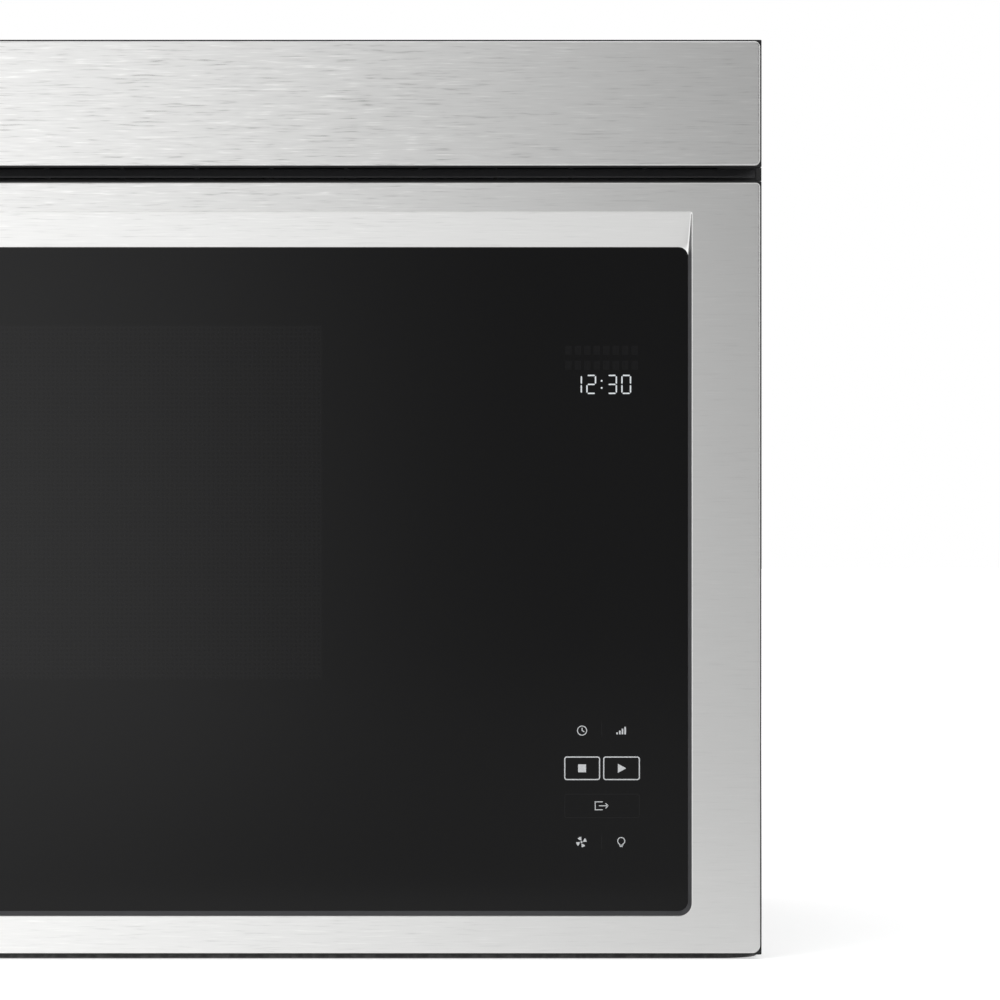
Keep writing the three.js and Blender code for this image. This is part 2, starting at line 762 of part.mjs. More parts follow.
const waveguideDepth = 34;
const waveguideWidth = 95;
const waveguideSetback = 50;
const waveguideDrop = 26; // below the roof of the cavity
const waveguideRise = 49; // above its floor
const waveguideY = cavityBackY - waveguideSetback - waveguideWidth / 2;
const waveguideTop = cavityTop - waveguideDrop;
const waveguideBottom = cavityFloor + waveguideRise;
const waveguideX = [bayLeft, bayLeft + waveguideDepth];
const portWidth = 70;
const portHeight = 50;
const portZ = waveguideBottom + 8 + portHeight / 2;
const magnetronZ = waveguideTop - 30;
const antennaHole = 17;

const lampSetback = 95; // behind the mouth of the cavity
const lampPortY = bayFrontY + lampSetback;
const lampPortZ = cavityTop - 36;
const driveHole = 5;
const trayX = (cavityLeft + cavityRight) / 2;
const trayY = (bayFrontY + cavityBackY) / 2;

function cavityBox() {
  const inside = rect([cavityLeft, cavityRight], [cavityFloor, cavityTop], cavityRadius);
  const shell = cut(
    panel(grow(inside, sheet), [bayFrontY, cavityBackY + sheet]),
    panel(inside, [bayFrontY - 1, cavityBackY]),
  );
  const wall = [cavityRight - 1, bayLeft];
  const lampHoles = [];
  for (let row = -1; row <= 1; row += 1) {
    for (let column = -1; column <= 1; column += 1) {
      lampHoles.push(rod("x", 1.8, wall, [lampPortY + 6 * column, lampPortZ + 6 * row], 6));
    }
  }
  return cut(
    shell,
    block(wall, span(waveguideY, portWidth), span(portZ, portHeight)),
    rod("z", driveHole, [cavityFloor - sheet - 1, cavityFloor + 1], [trayX, trayY], 16),
    ...lampHoles,
  );
}

function waveguide() {
  const y = span(waveguideY, waveguideWidth);
  const z = [waveguideBottom, waveguideTop];
  const flange = 7;
  const body = block(waveguideX, y, z);
  const rim = block(
    [waveguideX[0], waveguideX[0] + sheet],
    [y[0] - flange, y[1] + flange],
    [z[0] - flange, z[1] + flange],
  );
  const air = block(
    [waveguideX[0] - 1, waveguideX[1] - sheet],
    [y[0] + sheet, y[1] - sheet],
    [z[0] + sheet, z[1] - sheet],
  );
  const through = [waveguideX[1] - sheet - 1, waveguideX[1] + 1];
  const hole = rod("x", antennaHole, through, [waveguideY, magnetronZ], 16);
  return cut(join(body, rim), air, hole);
}

const micaThickness = 0.8;

function waveguideCover() {
  const x = [cavityRight - seat - micaThickness, cavityRight - seat];
  return block(x, span(waveguideY, portWidth + 12), span(portZ, portHeight + 12));
}

const yokeDepth = 60;
const yokeWidth = 90;
const yokeHeight = 70;
const yokePlate = 2;
const anodeRadius = 20;

function magnetron() {
  const x0 = waveguideX[1] + seat;
  const x1 = x0 + yokeDepth;
  const centre = [waveguideY, magnetronZ];
  const yoke = cut(
    block([x0, x1], span(waveguideY, yokeWidth), span(magnetronZ, yokeHeight)),
    block(
      [x0 + yokePlate, x1 - yokePlate],
      span(waveguideY, yokeWidth + 2),
      span(magnetronZ, yokeHeight - 2 * yokePlate),
    ),
  );
  const fins = [];
  const finCount = 4;
  const finPitch = (yokeDepth - 2 * yokePlate) / (finCount + 1);
  for (let i = 1; i <= finCount; i += 1) {
    const x = span(x0 + yokePlate + i * finPitch, 0.8);
    fins.push(block(x, span(waveguideY, yokeWidth - 6), span(magnetronZ, yokeHeight - 2 * yokePlate - 2)));
  }
  return join(
    yoke,
    rod("x", anodeRadius, [x0 + 1, x1 - 1], centre, 12),
    ...fins,
    rod("x", antennaHole - 0.6, [x0 - sheet - 1, x0 + 1], centre, 16),
    rod("x", 8, [x0 - 20, x0], centre, 12),
    block([x1 - 1, x1 + 34], span(waveguideY, 56), span(magnetronZ, 50)),
  );
}

const coreWidth = 90;
const coreDepth = 70;
const coreHeight = 70;
const transformerSetback = 120;
const capacitorSpacing = 90;
const transformerY = bayFrontY + transformerSetback;
const capacitorY = transformerY + capacitorSpacing;

function hvTransformer() {
  const z0 = bayFloorTop + seat;
  const core = block(span(bayCentre, coreWidth), span(transformerY, coreDepth), [z0, z0 + coreHeight]);
  const foot = block(span(bayCentre, coreWidth + 20), span(transformerY, coreDepth), [z0, z0 + 3]);
  const coil = rect(span(bayCentre, coreWidth - 24), span(z0 + coreHeight / 2 + 2, coreHeight - 22), 8);
  const windings = panel(coil, span(transformerY, coreDepth + 36));
  return join(core, foot, windings);
}

function hvCapacitor() {
  const can = new THREE.Shape();
  const radius = 17;
  const straight = 20;
  can.absarc(straight / 2, 0, radius, -Math.PI / 2, Math.PI / 2);
  can.absarc(-straight / 2, 0, radius, Math.PI / 2, 1.5 * Math.PI);
  const canHeight = 76;
  const terminals = [-12, 12].map((x) => block(span(x, 6), span(0, 1.2), [canHeight - 1, canHeight + 10]));
  return join(slab("z", can, [0, canHeight], 8), ...terminals);
}

// Cooling fan at the rear of the bay
const fanX = waveguideX[1] + 47;
const fanZ = magnetronZ - 8;
const fanRadius = 50;
const fanTip = 3;
const fanRing = 2;
const fanSetback = 62; // in front of the back wall
const fanPlateY = rearInnerY - fanSetback;
const fanDuct = 26;
const fanBar = 3;
const fanShaft = 3;
const fanBore = 16; // depth of the motor's bearing

function coolingFanHousing() {
  const ringOuter = fanRadius + fanTip + fanRing;
  const ductEnd = fanPlateY + fanDuct;
  const plateZ = [bayFloorTop + seat, fanZ + ringOuter + 3];
  const plate = block([bayLeft, bayRight], [fanPlateY, fanPlateY + 2], plateZ);
  const tube = rod("y", ringOuter, [fanPlateY, ductEnd], [fanX, fanZ], 24);
  const air = rod("y", fanRadius + fanTip, [fanPlateY - 1, ductEnd + 1], [fanX, fanZ], 24);
  const bar = block(span(fanX, 2 * ringOuter - 1), [ductEnd - 1, ductEnd + fanBar], span(fanZ, 14));
  const shaftHole = rod("y", fanShaft + 1, [ductEnd - 2, ductEnd + fanBar + 1], [fanX, fanZ], 12);
  return cut(join(cut(join(plate, tube), air), bar), shaftHole);
}

function coolingFanMotor() {
  const y0 = fanPlateY + fanDuct + fanBar + seat;
  const body = join(
    block(span(fanX, 60), [y0, y0 + 12], [fanZ - 40, fanZ + 20]),
    rod("y", 17, [y0, y0 + 24], [fanX, fanZ], 20),
    block(span(fanX, 34), [y0, y0 + 22], [fanZ - 40, fanZ - 24]),
  );
  return cut(body, rod("y", fanShaft + seat, [y0 - 1, y0 + fanBore], [fanX, fanZ], 12));
}

function coolingFanBlade() {
  const blade = new THREE.Shape();
  const sweep = 0.42;
  blade.absarc(0, 0, fanRadius, -sweep, sweep);
  blade.lineTo(8, 4);
  blade.lineTo(8, -4);
  const pitch = 28;
  const vane = slab("z", blade, [-0.8, 0.8], 4).rotate([pitch, 0, 0]);
  const trimmed = vane.intersect(rod("z", fanRadius, [-12, 12], [0, 0], 36));
  const hub = rod("z", 14, [-8, 8], [0, 0], 20);
  const shaft = rod("z", fanShaft, [0, fanDuct / 2 + fanBar + fanBore], [0, 0], 12);
  return join(hub, shaft, ...aroundZ(trimmed, 5)).rotate([-90, 0, 0]);
}

const lampBracketX = 26;

function cavityLampBracket() {
  const x = [bayLeft, bayLeft + lampBracketX];
  const y = span(lampPortY, 34);
  const z = span(lampPortZ, 34);
  const body = block(x, y, z);
  const air = block([x[0] - 1, x[1] - sheet], [y[0] + sheet, y[1] - sheet], [z[0] + sheet, z[1] - sheet]);
  return cut(body, air, rod("x", 9 + seat, [x[1] - sheet - 1, x[1] + 1], [lampPortY, lampPortZ], 14));
}

function cavityLamp() {
  const outer = bayLeft + lampBracketX;
  const bulb = new THREE.SphereGeometry(8, 10, 6);
  bulb.translate(outer - 13, lampPortY, lampPortZ);
  return join(
    solidOf(bulb),
    rod("x", 5, [outer - 13, outer], [lampPortY, lampPortZ], 10),
    rod("x", 9, [outer - 4, outer + 14], [lampPortY, lampPortZ], 14),
  );
}

const powerBoardFoot = 80.2; // above the floor of the bay
const powerBoardSize = 130;
const powerBoardSetback = 25;
const postLength = 8;

function powerBoard() {
  const face = bayRight - postLength;
  const y = [bayFrontY + powerBoardSetback, bayFrontY + powerBoardSetback + powerBoardSize];
  const z = [bayFloorTop + powerBoardFoot, bayFloorTop + powerBoardFoot + powerBoardSize];
  const board = block([face - boardThickness, face], y, z);
  const inner = face - boardThickness;
  const posts = [y[0] + 8, y[1] - 8].flatMap((py) =>
    [z[0] + 8, z[1] - 8].map((pz) => rod("x", 3, [face - 0.5, bayRight], [py, pz], 10)),
  );
  const relayX = [inner - 16, inner + 0.5];
  const relayZ = [z[0] + 14, z[0] + 29];
  const relays = [24, 48, 72].map((offset) => block(relayX, span(y[0] + offset, 19), relayZ));
  const supply = block([inner - 26, inner + 0.5], span(y[0] + 34, 36), span(z[1] - 40, 32));
  const sink = block([inner - 22, inner + 0.5], span(y[1] - 30, 3), span(z[1] - 40, 50));
  return join(board, ...posts, ...relays, supply, sink);
}

// ------------------------------------------------------------------ turntable

const wheelRadius = 7.5;
const wheelWidth = 6;
const wheelTrack = 104; // wheels run on this radius
const axleRadius = 1.6;
const hoopRadius = 95;
const hoopSection = 6;
const axleZ = cavityFloor + seat + wheelRadius;
const trayZ = axleZ + wheelRadius + seat;
const trayRadius = 136;
const trayThickness = 4;
const trayRim = 11;
const couplerRadius = 11;
const couplerArm = 17;
const driveShaft = 3.5;
const motorRadius = 25;
const motorHeight = 18;

function turntableMotor() {
  const top = cavityFloor - sheet - seat;
  const body = join(
    rod("z", motorRadius, [top - motorHeight, top], [0, 0], 16),
    block([motorRadius - 6, motorRadius + 14], span(0, 16), [top - motorHeight, top - 4]),
    block(span(0, 2 * motorRadius + 16), span(0, 9), [top - 2, top]),
  );
  return cut(body, rod("z", driveShaft + seat, [top - motorHeight + 3, top + 1], [0, 0], 16));
}

function turntableCoupler() {
  const arm = block([0, couplerArm], span(0, 7), [trayZ - seat - 5, trayZ - seat]);
  return join(
    rod("z", driveShaft, [cavityFloor - sheet - seat - motorHeight + 4, cavityFloor + 3], [0, 0], 16),
    rod("z", couplerRadius, [cavityFloor + 1, trayZ - seat], [0, 0], 20),
    ...aroundZ(arm, 3),
  );
}

function turntableTray() {
  const flat = trayRadius - 11;
  const profile = [
    [0, trayZ],
    [flat, trayZ],
    [trayRadius - 4, trayZ + 3.5],
    [trayRadius, trayZ + trayRim - 2],
    [trayRadius, trayZ + trayRim],
    [trayRadius - 3, trayZ + trayRim],
    [trayRadius - 7, trayZ + trayThickness + 3],
    [flat - 2, trayZ + trayThickness],
    [0, trayZ + trayThickness],
  ];
  const lug = block([couplerRadius + 1, couplerArm + 3], span(0, 8), [trayZ - 4, trayZ + 1]);
  return join(turned(profile, 32), ...aroundZ(lug.rotate([0, 0, 60]), 3));
}

function rollerRing() {
  const half = hoopSection / 2;
  const hoop = turned(
    [
      [hoopRadius - half, axleZ - half],
      [hoopRadius + half, axleZ - half],
      [hoopRadius + half, axleZ + half],
      [hoopRadius - half, axleZ + half],
    ],
    30,
  );
  const wheelInner = wheelTrack - wheelWidth / 2;
  const wheelOuter = wheelTrack + wheelWidth / 2;
  const axle = join(
    rod("x", 3, [hoopRadius, wheelInner - seat], [0, axleZ], 8),
    rod("x", axleRadius, [hoopRadius, wheelOuter + seat + 1], [0, axleZ], 10),
    rod("x", 2.6, [wheelOuter + seat, wheelOuter + seat + 2], [0, axleZ], 8),
  );
  return join(hoop, ...aroundZ(axle, 3));
}

/** A roller wheel about its own axis, which is X here. */
function rollerWheel() {
  const x = span(0, wheelWidth);
  const bore = rod("x", axleRadius + seat, [x[0] - 1, x[1] + 1], [0, 0], 12);
  return cut(rod("x", wheelRadius, x, [0, 0], 20), bore);
}

// ------------------------------------------------------------------ ventilation

/** Outline of one scroll in Y and Z, larger by a margin: a spiral that ends in the duct. */
function scrollOutline(margin, top) {
  const steps = 11;
  const outline = new THREE.Shape();
  for (let i = 0; i <= steps; i += 1) {
    const angle = tongueAngle + (i / steps) * (2 * Math.PI - tongueAngle);
    const radius = scrollRadius(angle) + margin;
    const point = [blowerY + radius * Math.cos(angle), blowerZ + radius * Math.sin(angle)];
    if (i === 0) {
      outline.moveTo(...point);
    } else {
      outline.lineTo(...point);
    }
  }
  outline.lineTo(ductBackY + margin, top);
  outline.lineTo(ductFrontY - margin, top);
  return outline;
}

const inletRadius = 34;

function blowerHousing() {
  const bodies = [];
  const tools = [];
  const air = [motorBay / 2 + blowerSheet, ductWidth / 2 - blowerSheet];
  for (const side of [-1, 1]) {
    const outerX = side > 0 ? [motorBay / 2, ductWidth / 2] : [-ductWidth / 2, -motorBay / 2];
    const innerX = side > 0 ? air : [-air[1], -air[0]];
    bodies.push(slab("x", scrollOutline(blowerSheet, scrollTop), outerX));
    tools.push(slab("x", scrollOutline(0, scrollTop + 5), innerX));
    tools.push(rod("x", inletRadius, [outerX[0] - 1, outerX[1] + 1], [blowerY, blowerZ], 20));
  }
  const base = cavityTop + sheet + seat;
  const bridge = block(span(0, motorBay + 2 * blowerSheet), span(blowerY, 48), [base, base + 8]);
  const cradle = cut(
    block(span(0, 30), span(blowerY, 40), [base, blowerZ - 10]),
    rod("x", blowerMotorRadius + seat, [-20, 20], [blowerY, blowerZ], 20),
  );
  return join(cut(join(...bodies, bridge), ...tools), cradle);
}

const blowerMotorRadius = 32;
const blowerMotorLength = 50;
const blowerShaftRadius = 4;

function blowerMotor() {
  const body = join(
    rod("x", blowerMotorRadius, span(0, blowerMotorLength - 14), [blowerY, blowerZ], 16),
    rod("x", blowerMotorRadius - 10, span(0, blowerMotorLength), [blowerY, blowerZ], 16),
  );
  const boreX = span(0, blowerMotorLength + 2);
  return cut(body, rod("x", blowerShaftRadius + seat, boreX, [blowerY, blowerZ], 12));
}

const wheelOuterRadius = 42;
const wheelInnerRadius = 35;
const wheelBladeCount = 14;
const wheelHub = 9;
const wheelInset = 3; // hub plate from the inner wall of the scroll
const wheelOutset = 9.6; // open end from the outer wall
const wheelLength = (ductWidth - motorBay) / 2 - 2 * blowerSheet - wheelInset - wheelOutset;
const shaftInWheel = 18;

/** A squirrel-cage wheel about X with its hub plate at x = 0. */
function blowerWheel() {
  const ringWidth = 2.5;
  const blade = new THREE.Shape();
  blade.moveTo(wheelInnerRadius + 0.5, 0);
  blade.quadraticCurveTo(wheelOuterRadius - 2.5, 0.4, wheelOuterRadius - 0.6, 4.2);
  blade.lineTo(wheelOuterRadius - 1.4, 4.6);
  blade.quadraticCurveTo(wheelOuterRadius - 3.2, 1.6, wheelInnerRadius + 0.5, 1);
  const vane = slab("z", blade, [ringWidth / 2, wheelLength - ringWidth / 2], 2);
  const plate = rod("z", wheelOuterRadius, [0, ringWidth], [0, 0], 28);
  const hoop = cut(
    rod("z", wheelOuterRadius, [wheelLength - ringWidth, wheelLength], [0, 0], 28),
    rod("z", wheelInnerRadius, [wheelLength - ringWidth - 1, wheelLength + 1], [0, 0], 28),
  );
  const body = join(plate, rod("z", wheelHub, [0, 16], [0, 0], 16), ...aroundZ(vane, wheelBladeCount), hoop);
  const bore = rod("z", blowerShaftRadius + seat, [-1, 20], [0, 0], 12);
  return cut(body, bore).rotate([0, 90, 0]);
}

function blowerShaft() {
  const half = motorBay / 2 + blowerSheet + wheelInset + shaftInWheel;
  return rod("x", blowerShaftRadius, [-half, half], [blowerY, blowerZ], 12);
}

const filterThickness = 4;
const filterBar = 8;
const filterLift = 0.6;
const tabLength = 6;

/** A grease filter about its centre, with two tabs at the rear that hang on the base. */
function greaseFilter() {
  const x = span(0, filterWidth);
  const y = span(0, filterDepth);
  const z = [filterLift, filterLift + filterThickness];
  const inner = [x[0] + filterBar, x[1] - filterBar];
  const innerY = [y[0] + filterBar, y[1] - filterBar];
  const frame = cut(block(x, y, z), block(inner, innerY, [z[0] - 1, z[1] + 1]));
  const net = block([inner[0] - 1, inner[1] + 1], [innerY[0] - 1, innerY[1] + 1], [z[0] + 1, z[1] - 1]);
  const columns = 4;
  const rows = 3;
  const pitchX = (inner[1] - inner[0]) / columns;
  const pitchY = (innerY[1] - innerY[0]) / rows;
  const diamond = new THREE.Shape();
  diamond.moveTo(-pitchX / 2 + 1.4, 0);
  diamond.lineTo(0, -pitchY / 2 + 1.4);
  diamond.lineTo(pitchX / 2 - 1.4, 0);
  diamond.lineTo(0, pitchY / 2 - 1.4);
  const gap = slab("z", diamond, [z[0], z[1]]);
  const gaps = [];
  for (let row = 0; row < rows; row += 1) {
    for (let column = 0; column < columns; column += 1) {
      const at = [inner[0] + (column + 0.5) * pitchX, innerY[0] + (row + 0.5) * pitchY, 0];
      gaps.push(gap.translate(at));
      if (row + 1 < rows && column + 1 < columns) {
        gaps.push(gap.translate([at[0] + pitchX / 2, at[1] + pitchY / 2, 0]));
      }
    }
  }
  const tabZ = [baseThickness + 0.6, z[1]];
  const tabY = [y[1] - 2, y[1] + tabLength];
  const tabs = [-filterWidth / 3, filterWidth / 3].map((tx) => block(span(tx, 22), tabY, tabZ));
  return join(frame, cut(net, ...gaps), ...tabs);
}

const lampCoverThickness = 2.4;
const lampCoverLift = 0.5;

/** A lamp cover about its centre, with one tab at the rear that hangs on the base. */
function lampCover() {
  const x = span(0, lampCoverWidth);
  const y = span(0, lampCoverDepth);
  const z = [lampCoverLift, lampCoverLift + lampCoverThickness];
  const plate = block(x, y, z);
  const pocket = block([x[0] + 6, x[1] - 6], [y[0] + 12, y[1] - 6], [z[0] + 1.2, z[1] + 1]);
  const screwHole = rod("z", 2, [z[0] - 1, z[1] + 1], [0, y[0] + 6], 12);
  const tab = block(span(0, 40), [y[1] - 3, y[1] + 5], [baseThickness + 0.6, baseThickness + 1.8]);
  return join(cut(plate, pocket, screwHole), tab);
}

/** A cooktop lamp on feet beside its opening in the base. */
function cooktopLamp() {
  const footX = lampCoverWidth / 2 + filterPlay + 5;
  const foot = baseThickness + seat;
  const bridge = block([-footX, footX], span(0, 24), [foot + 12, foot + 14]);
  const legs = [-1, 1].flatMap((side) => [
    block(span(side * footX, 2), span(0, 24), [foot, foot + 14]),
    block(span(side * (footX + 4), 10), span(0, 24), [foot, foot + 1.5]),
  ]);
  return join(
    bridge,
    ...legs,
    rod("z", 15, [foot + 8, foot + 13], [0, 0], 16),
    rod("z", 12, [foot + 13, foot + 26], [0, 0], 16),
  );
}

// ------------------------------------------------------------------ interlock

const boardSideX = hookX + hookThickness / 2 + slotPlay + slotSweep;
const boardSheet = 2;
const latchBoardDrop = 45; // below the lower hook
const latchBoardRise = 20; // above the upper hook
const switchSize = { x: 10.3, y: 28, z: 16 };
const plungerInset = 8; // from the end of the switch
const plungerTravel = 1.2;
const plungerProud = 2.6;
const plungerRadius = 1.5;
const pegRadius = 1.4;
const pegSpacing = 22;

/** Top of a released switch plunger below a hook at this height. */
const plungerTopAt = (z) => z - hookDrop - latchTravel + plungerTravel - seat;
const switchTopAt = (z) => plungerTopAt(z) - plungerProud;

const upperHook = Math.max(...hookHeights);
const lowerHook = Math.min(...hookHeights);
const plungerFrontY = catchFrontY + 4;
const plungerRearY = plungerFrontY + 2 * plungerInset + 0.6;

// Each switch: the hook above it, its plunger, and which way its body runs from the plunger
const switches = {
  primary: { hook: upperHook, y: plungerFrontY, way: -1 },
  monitor: { hook: upperHook, y: plungerRearY, way: 1 },
  secondary: { hook: lowerHook, y: plungerRearY, way: 1 },
};

const switchCentreY = ({ y, way }) => y + way * (switchSize.y / 2 - plungerInset);
const pegHeight = 8; // of the pegs below the top of the switch

function latchBoard() {
  const y = [bayFrontY, bayFrontY + 72];
  const z = [lowerHook - latchBoardDrop, upperHook + latchBoardRise];
  const side = block([boardSideX, boardSideX + boardSheet], y, z);
  const flange = block([hookX - 9, boardSideX + 12], [y[0], y[0] + boardSheet], z);
  const strikes = hookHeights.map((hook) =>
    block(
      [hookX - hookThickness, boardSideX + 1],
      [strikeFrontY, strikeBackY],
      [switchTopAt(hook) + 0.5, hook - hookDrop - 0.5],
    ),
  );
  const faceX = hookX + switchSize.x / 2 + seat;
  const pegs = Object.values(switches).flatMap((each) =>
    span(switchCentreY(each), pegSpacing).flatMap((py) => {
      const centre = [py, switchTopAt(each.hook) - pegHeight];
      return [
        rod("x", 3, [faceX, boardSideX + 1], centre, 8),
        rod("x", pegRadius, [hookX - switchSize.x / 2 - 1, boardSideX + 1], centre, 8),
      ];
    }),
  );
  const slots = hookHeights.map((hook) => hookSlot(hook, [y[0] - 1, y[0] + boardSheet + 1]));
  return join(cut(join(side, flange), ...slots), ...strikes, ...pegs);
}

/** A switch about its plunger hole, with the top of its case at z = 0 and its body toward +Y. */
function interlockSwitch(way) {
  const longSide = switchSize.y - plungerInset;
  const y = way > 0 ? [-plungerInset, longSide] : [-longSide, plungerInset];
  const body = block(span(0, switchSize.x), y, [-switchSize.z, 0]);
  const centre = (y[0] + y[1]) / 2;
  const terminalZ = [-switchSize.z - 7, 1 - switchSize.z];
  const terminals = [-9, 0, 9].map((offset) => block(span(0, 0.8), span(centre + offset, 6), terminalZ));
  const holeX = span(0, 2 * switchSize.x);
  const pegHoles = span(centre, pegSpacing).map((py) => {
    return rod("x", pegRadius + seat, holeX, [py, -pegHeight], 8);
  });
  const bore = rod("z", plungerRadius + seat, [-6.7, 1], [0, 0], 12);
  return cut(join(body, ...terminals), ...pegHoles, bore);
}

function switchPlunger() {
  return rod("z", plungerRadius, [-5, plungerProud], [0, 0], 12);
}

const solenoidY = strikeFrontY - 6;
const releaseRadius = 2;
const solenoidTop = lowerHook - 12;

function releaseActuator() {
  const y = [bayFrontY + boardSheet + seat, strikeBackY - 4.5];
  const x = [hookX - 12, boardSideX - seat];
  const body = block(x, y, [solenoidTop - 30, solenoidTop]);
  const boreZ = [solenoidTop - 20, solenoidTop + 1];
  return cut(body, rod("z", releaseRadius + seat, boreZ, [hookX, solenoidY], 12));
}

function releasePlunger() {
  return rod("z", releaseRadius, [solenoidTop - 14, lowerHook - seat], [hookX, solenoidY], 12);
}

// ------------------------------------------------------------------ assembly

piece("outer_wrap", outerWrap(), greyPaint);
piece("base_pan", basePan(), greyPaint);
piece("rear_panel", rearPanel(), zincSteel);
piece("front_plate", frontPlate(), blackPaint);
piece("bay_floor", bayFloor(), zincSteel);
piece("cord_bushing", cordBushing(), rubber);
piece("top_fascia", pressedSkin(fasciaOutline), stainless);
piece("vent_grille", ventGrille(), blackPlastic);
piece("charcoal_filter", charcoalFilter(), carbon);

piece("cavity_box", cavityBox(), cavityPaint);
piece("waveguide", waveguide(), zincSteel);
piece("waveguide_cover", waveguideCover(), mica);
piece("magnetron", magnetron(), aluminium);
piece("hv_transformer", hvTransformer(), castBlack);
const capacitor = piece("hv_capacitor", hvCapacitor(), aluminium);
capacitor.position.set(bayCentre, capacitorY, bayFloorTop + seat);
piece("cooling_fan_housing", coolingFanHousing(), zincSteel);
piece("cooling_fan_motor", coolingFanMotor(), castBlack);
const fanBlade = piece("cooling_fan_blade", coolingFanBlade(), whitePlastic);
fanBlade.position.set(fanX, fanPlateY + fanDuct / 2, fanZ);
piece("cavity_lamp_bracket", cavityLampBracket(), zincSteel);
piece("cavity_lamp", cavityLamp(), lampGlass);
piece("power_board", powerBoard(), boardGreen);

const turntable = new THREE.Group();
turntable.position.set(trayX, trayY, 0);
microwave.add(turntable);
piece("turntable_motor", turntableMotor(), castBlack, turntable);
piece("turntable_coupler", turntableCoupler(), whitePlastic, turntable);
piece("turntable_tray", turntableTray(), clearGlass, turntable);
piece("roller_ring", rollerRing(), blackPlastic, turntable);
for (let i = 0; i < 3; i += 1) {
  const arm = new THREE.Group();
  arm.rotation.z = (i * 2 * Math.PI) / 3;
  turntable.add(arm);
  const wheel = piece(`roller_wheel_${i + 1}`, rollerWheel(), whitePlastic, arm);
  wheel.position.set(wheelTrack, 0, axleZ);
}

piece("blower_housing", blowerHousing(), zincSteel);
piece("blower_motor", blowerMotor(), castBlack);
piece("blower_shaft", blowerShaft(), zincSteel);
for (const side of [-1, 1]) {
  const wheel = piece(side < 0 ? "blower_wheel_left" : "blower_wheel_right", blowerWheel(), zincSteel);
  wheel.position.set(side * (motorBay / 2 + blowerSheet + wheelInset), blowerY, blowerZ);
  wheel.rotation.z = side < 0 ? Math.PI : 0;
}
for (const side of [-1, 1]) {
  const hand = side < 0 ? "left" : "right";
  piece(`grease_filter_${hand}`, greaseFilter(), aluminium).position.set(side * filterX, filterY, 0);
  piece(`lamp_cover_${hand}`, lampCover(), clearGlass).position.set(side * lampX, lampY, 0);
  piece(`cooktop_lamp_${hand}`, cooktopLamp(), lampGlass).position.set(side * lampX, lampY, 0);
}

piece("latch_board", latchBoard(), whitePlastic);
for (const [name, each] of Object.entries(switches)) {
  const place = new THREE.Group();
  place.position.set(hookX, each.y, switchTopAt(each.hook));
  microwave.add(place);
  piece(`${name}_switch`, interlockSwitch(each.way), blackPlastic, place);
  piece(`${name}_switch_plunger`, switchPlunger(), whitePlastic, place);
}
piece("release_actuator", releaseActuator(), castBlack);
piece("release_plunger", releasePlunger(), zincSteel);

piece("door_outer_frame", doorOuterFrame(), stainless);
piece("door_glass", panel(glassOutline, [glassFrontY, glassBackY]), darkGlass);
piece("door_inner_frame", doorInnerFrame(), blackPaint);
piece("door_choke", doorChoke(), zincSteel);
piece("choke_cover", chokeCover(), blackPlastic);
piece("window_screen", windowScreen(), blackPaint);
piece("inner_window", innerWindow(), clearGlass);
piece("door_control_board", controlBoard(), boardGreen);
piece("display_module", displayModule(), blackPlastic);
piece("hinge_lower", hinge(leafLow, 1), zincSteel);
piece("hinge_upper", hinge(leafHigh, -1), zincSteel);
piece("latch_key", latchKey(), whitePlastic);

export default microwave;
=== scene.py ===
"""Looks of an over the range microwave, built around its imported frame.

Sizes are in millimetres in the classes and become metres when a mesh is made. +Z is up and the door faces -Y.
"""
import itertools
import logging
import math
from dataclasses import dataclass
from enum import Enum
from typing import Iterable, Sequence, Union

import bmesh
import bpy
from mathutils import Matrix, Vector


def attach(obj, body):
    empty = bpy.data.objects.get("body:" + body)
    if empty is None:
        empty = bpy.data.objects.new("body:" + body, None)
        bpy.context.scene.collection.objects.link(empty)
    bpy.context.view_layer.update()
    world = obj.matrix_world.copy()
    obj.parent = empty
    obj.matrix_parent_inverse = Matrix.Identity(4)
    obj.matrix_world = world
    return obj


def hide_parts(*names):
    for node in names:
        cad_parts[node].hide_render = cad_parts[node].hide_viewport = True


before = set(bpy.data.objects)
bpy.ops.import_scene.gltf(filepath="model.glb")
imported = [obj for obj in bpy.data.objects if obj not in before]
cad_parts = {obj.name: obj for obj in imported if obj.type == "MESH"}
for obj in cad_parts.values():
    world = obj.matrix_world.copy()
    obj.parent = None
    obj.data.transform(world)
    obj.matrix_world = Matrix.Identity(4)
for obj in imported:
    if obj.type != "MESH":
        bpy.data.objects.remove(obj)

log = logging.getLogger("microwave")

MM = 0.001

Colour = tuple[float, float, float]
Range = tuple[float, float]
Ramp = tuple[float, float, float, float]
Value = Union[float, Sequence[float], bpy.types.NodeSocket]


def srgb(red: int, green: int, blue: int) -> Colour:
    """A colour as it is seen on a screen, from 0 to 255, turned to scene values.

    Args:
        red: Red part.
        green: Green part.
        blue: Blue part.

    Returns:
        The three linear parts from 0 to 1.
    """
    def linear(part: float) -> float:
        """One part in linear light."""
        part = part / 255
        return part / 12.92 if part <= 0.04045 else ((part + 0.055) / 1.055) ** 2.4

    return linear(red), linear(green), linear(blue)


# ---- shader trees


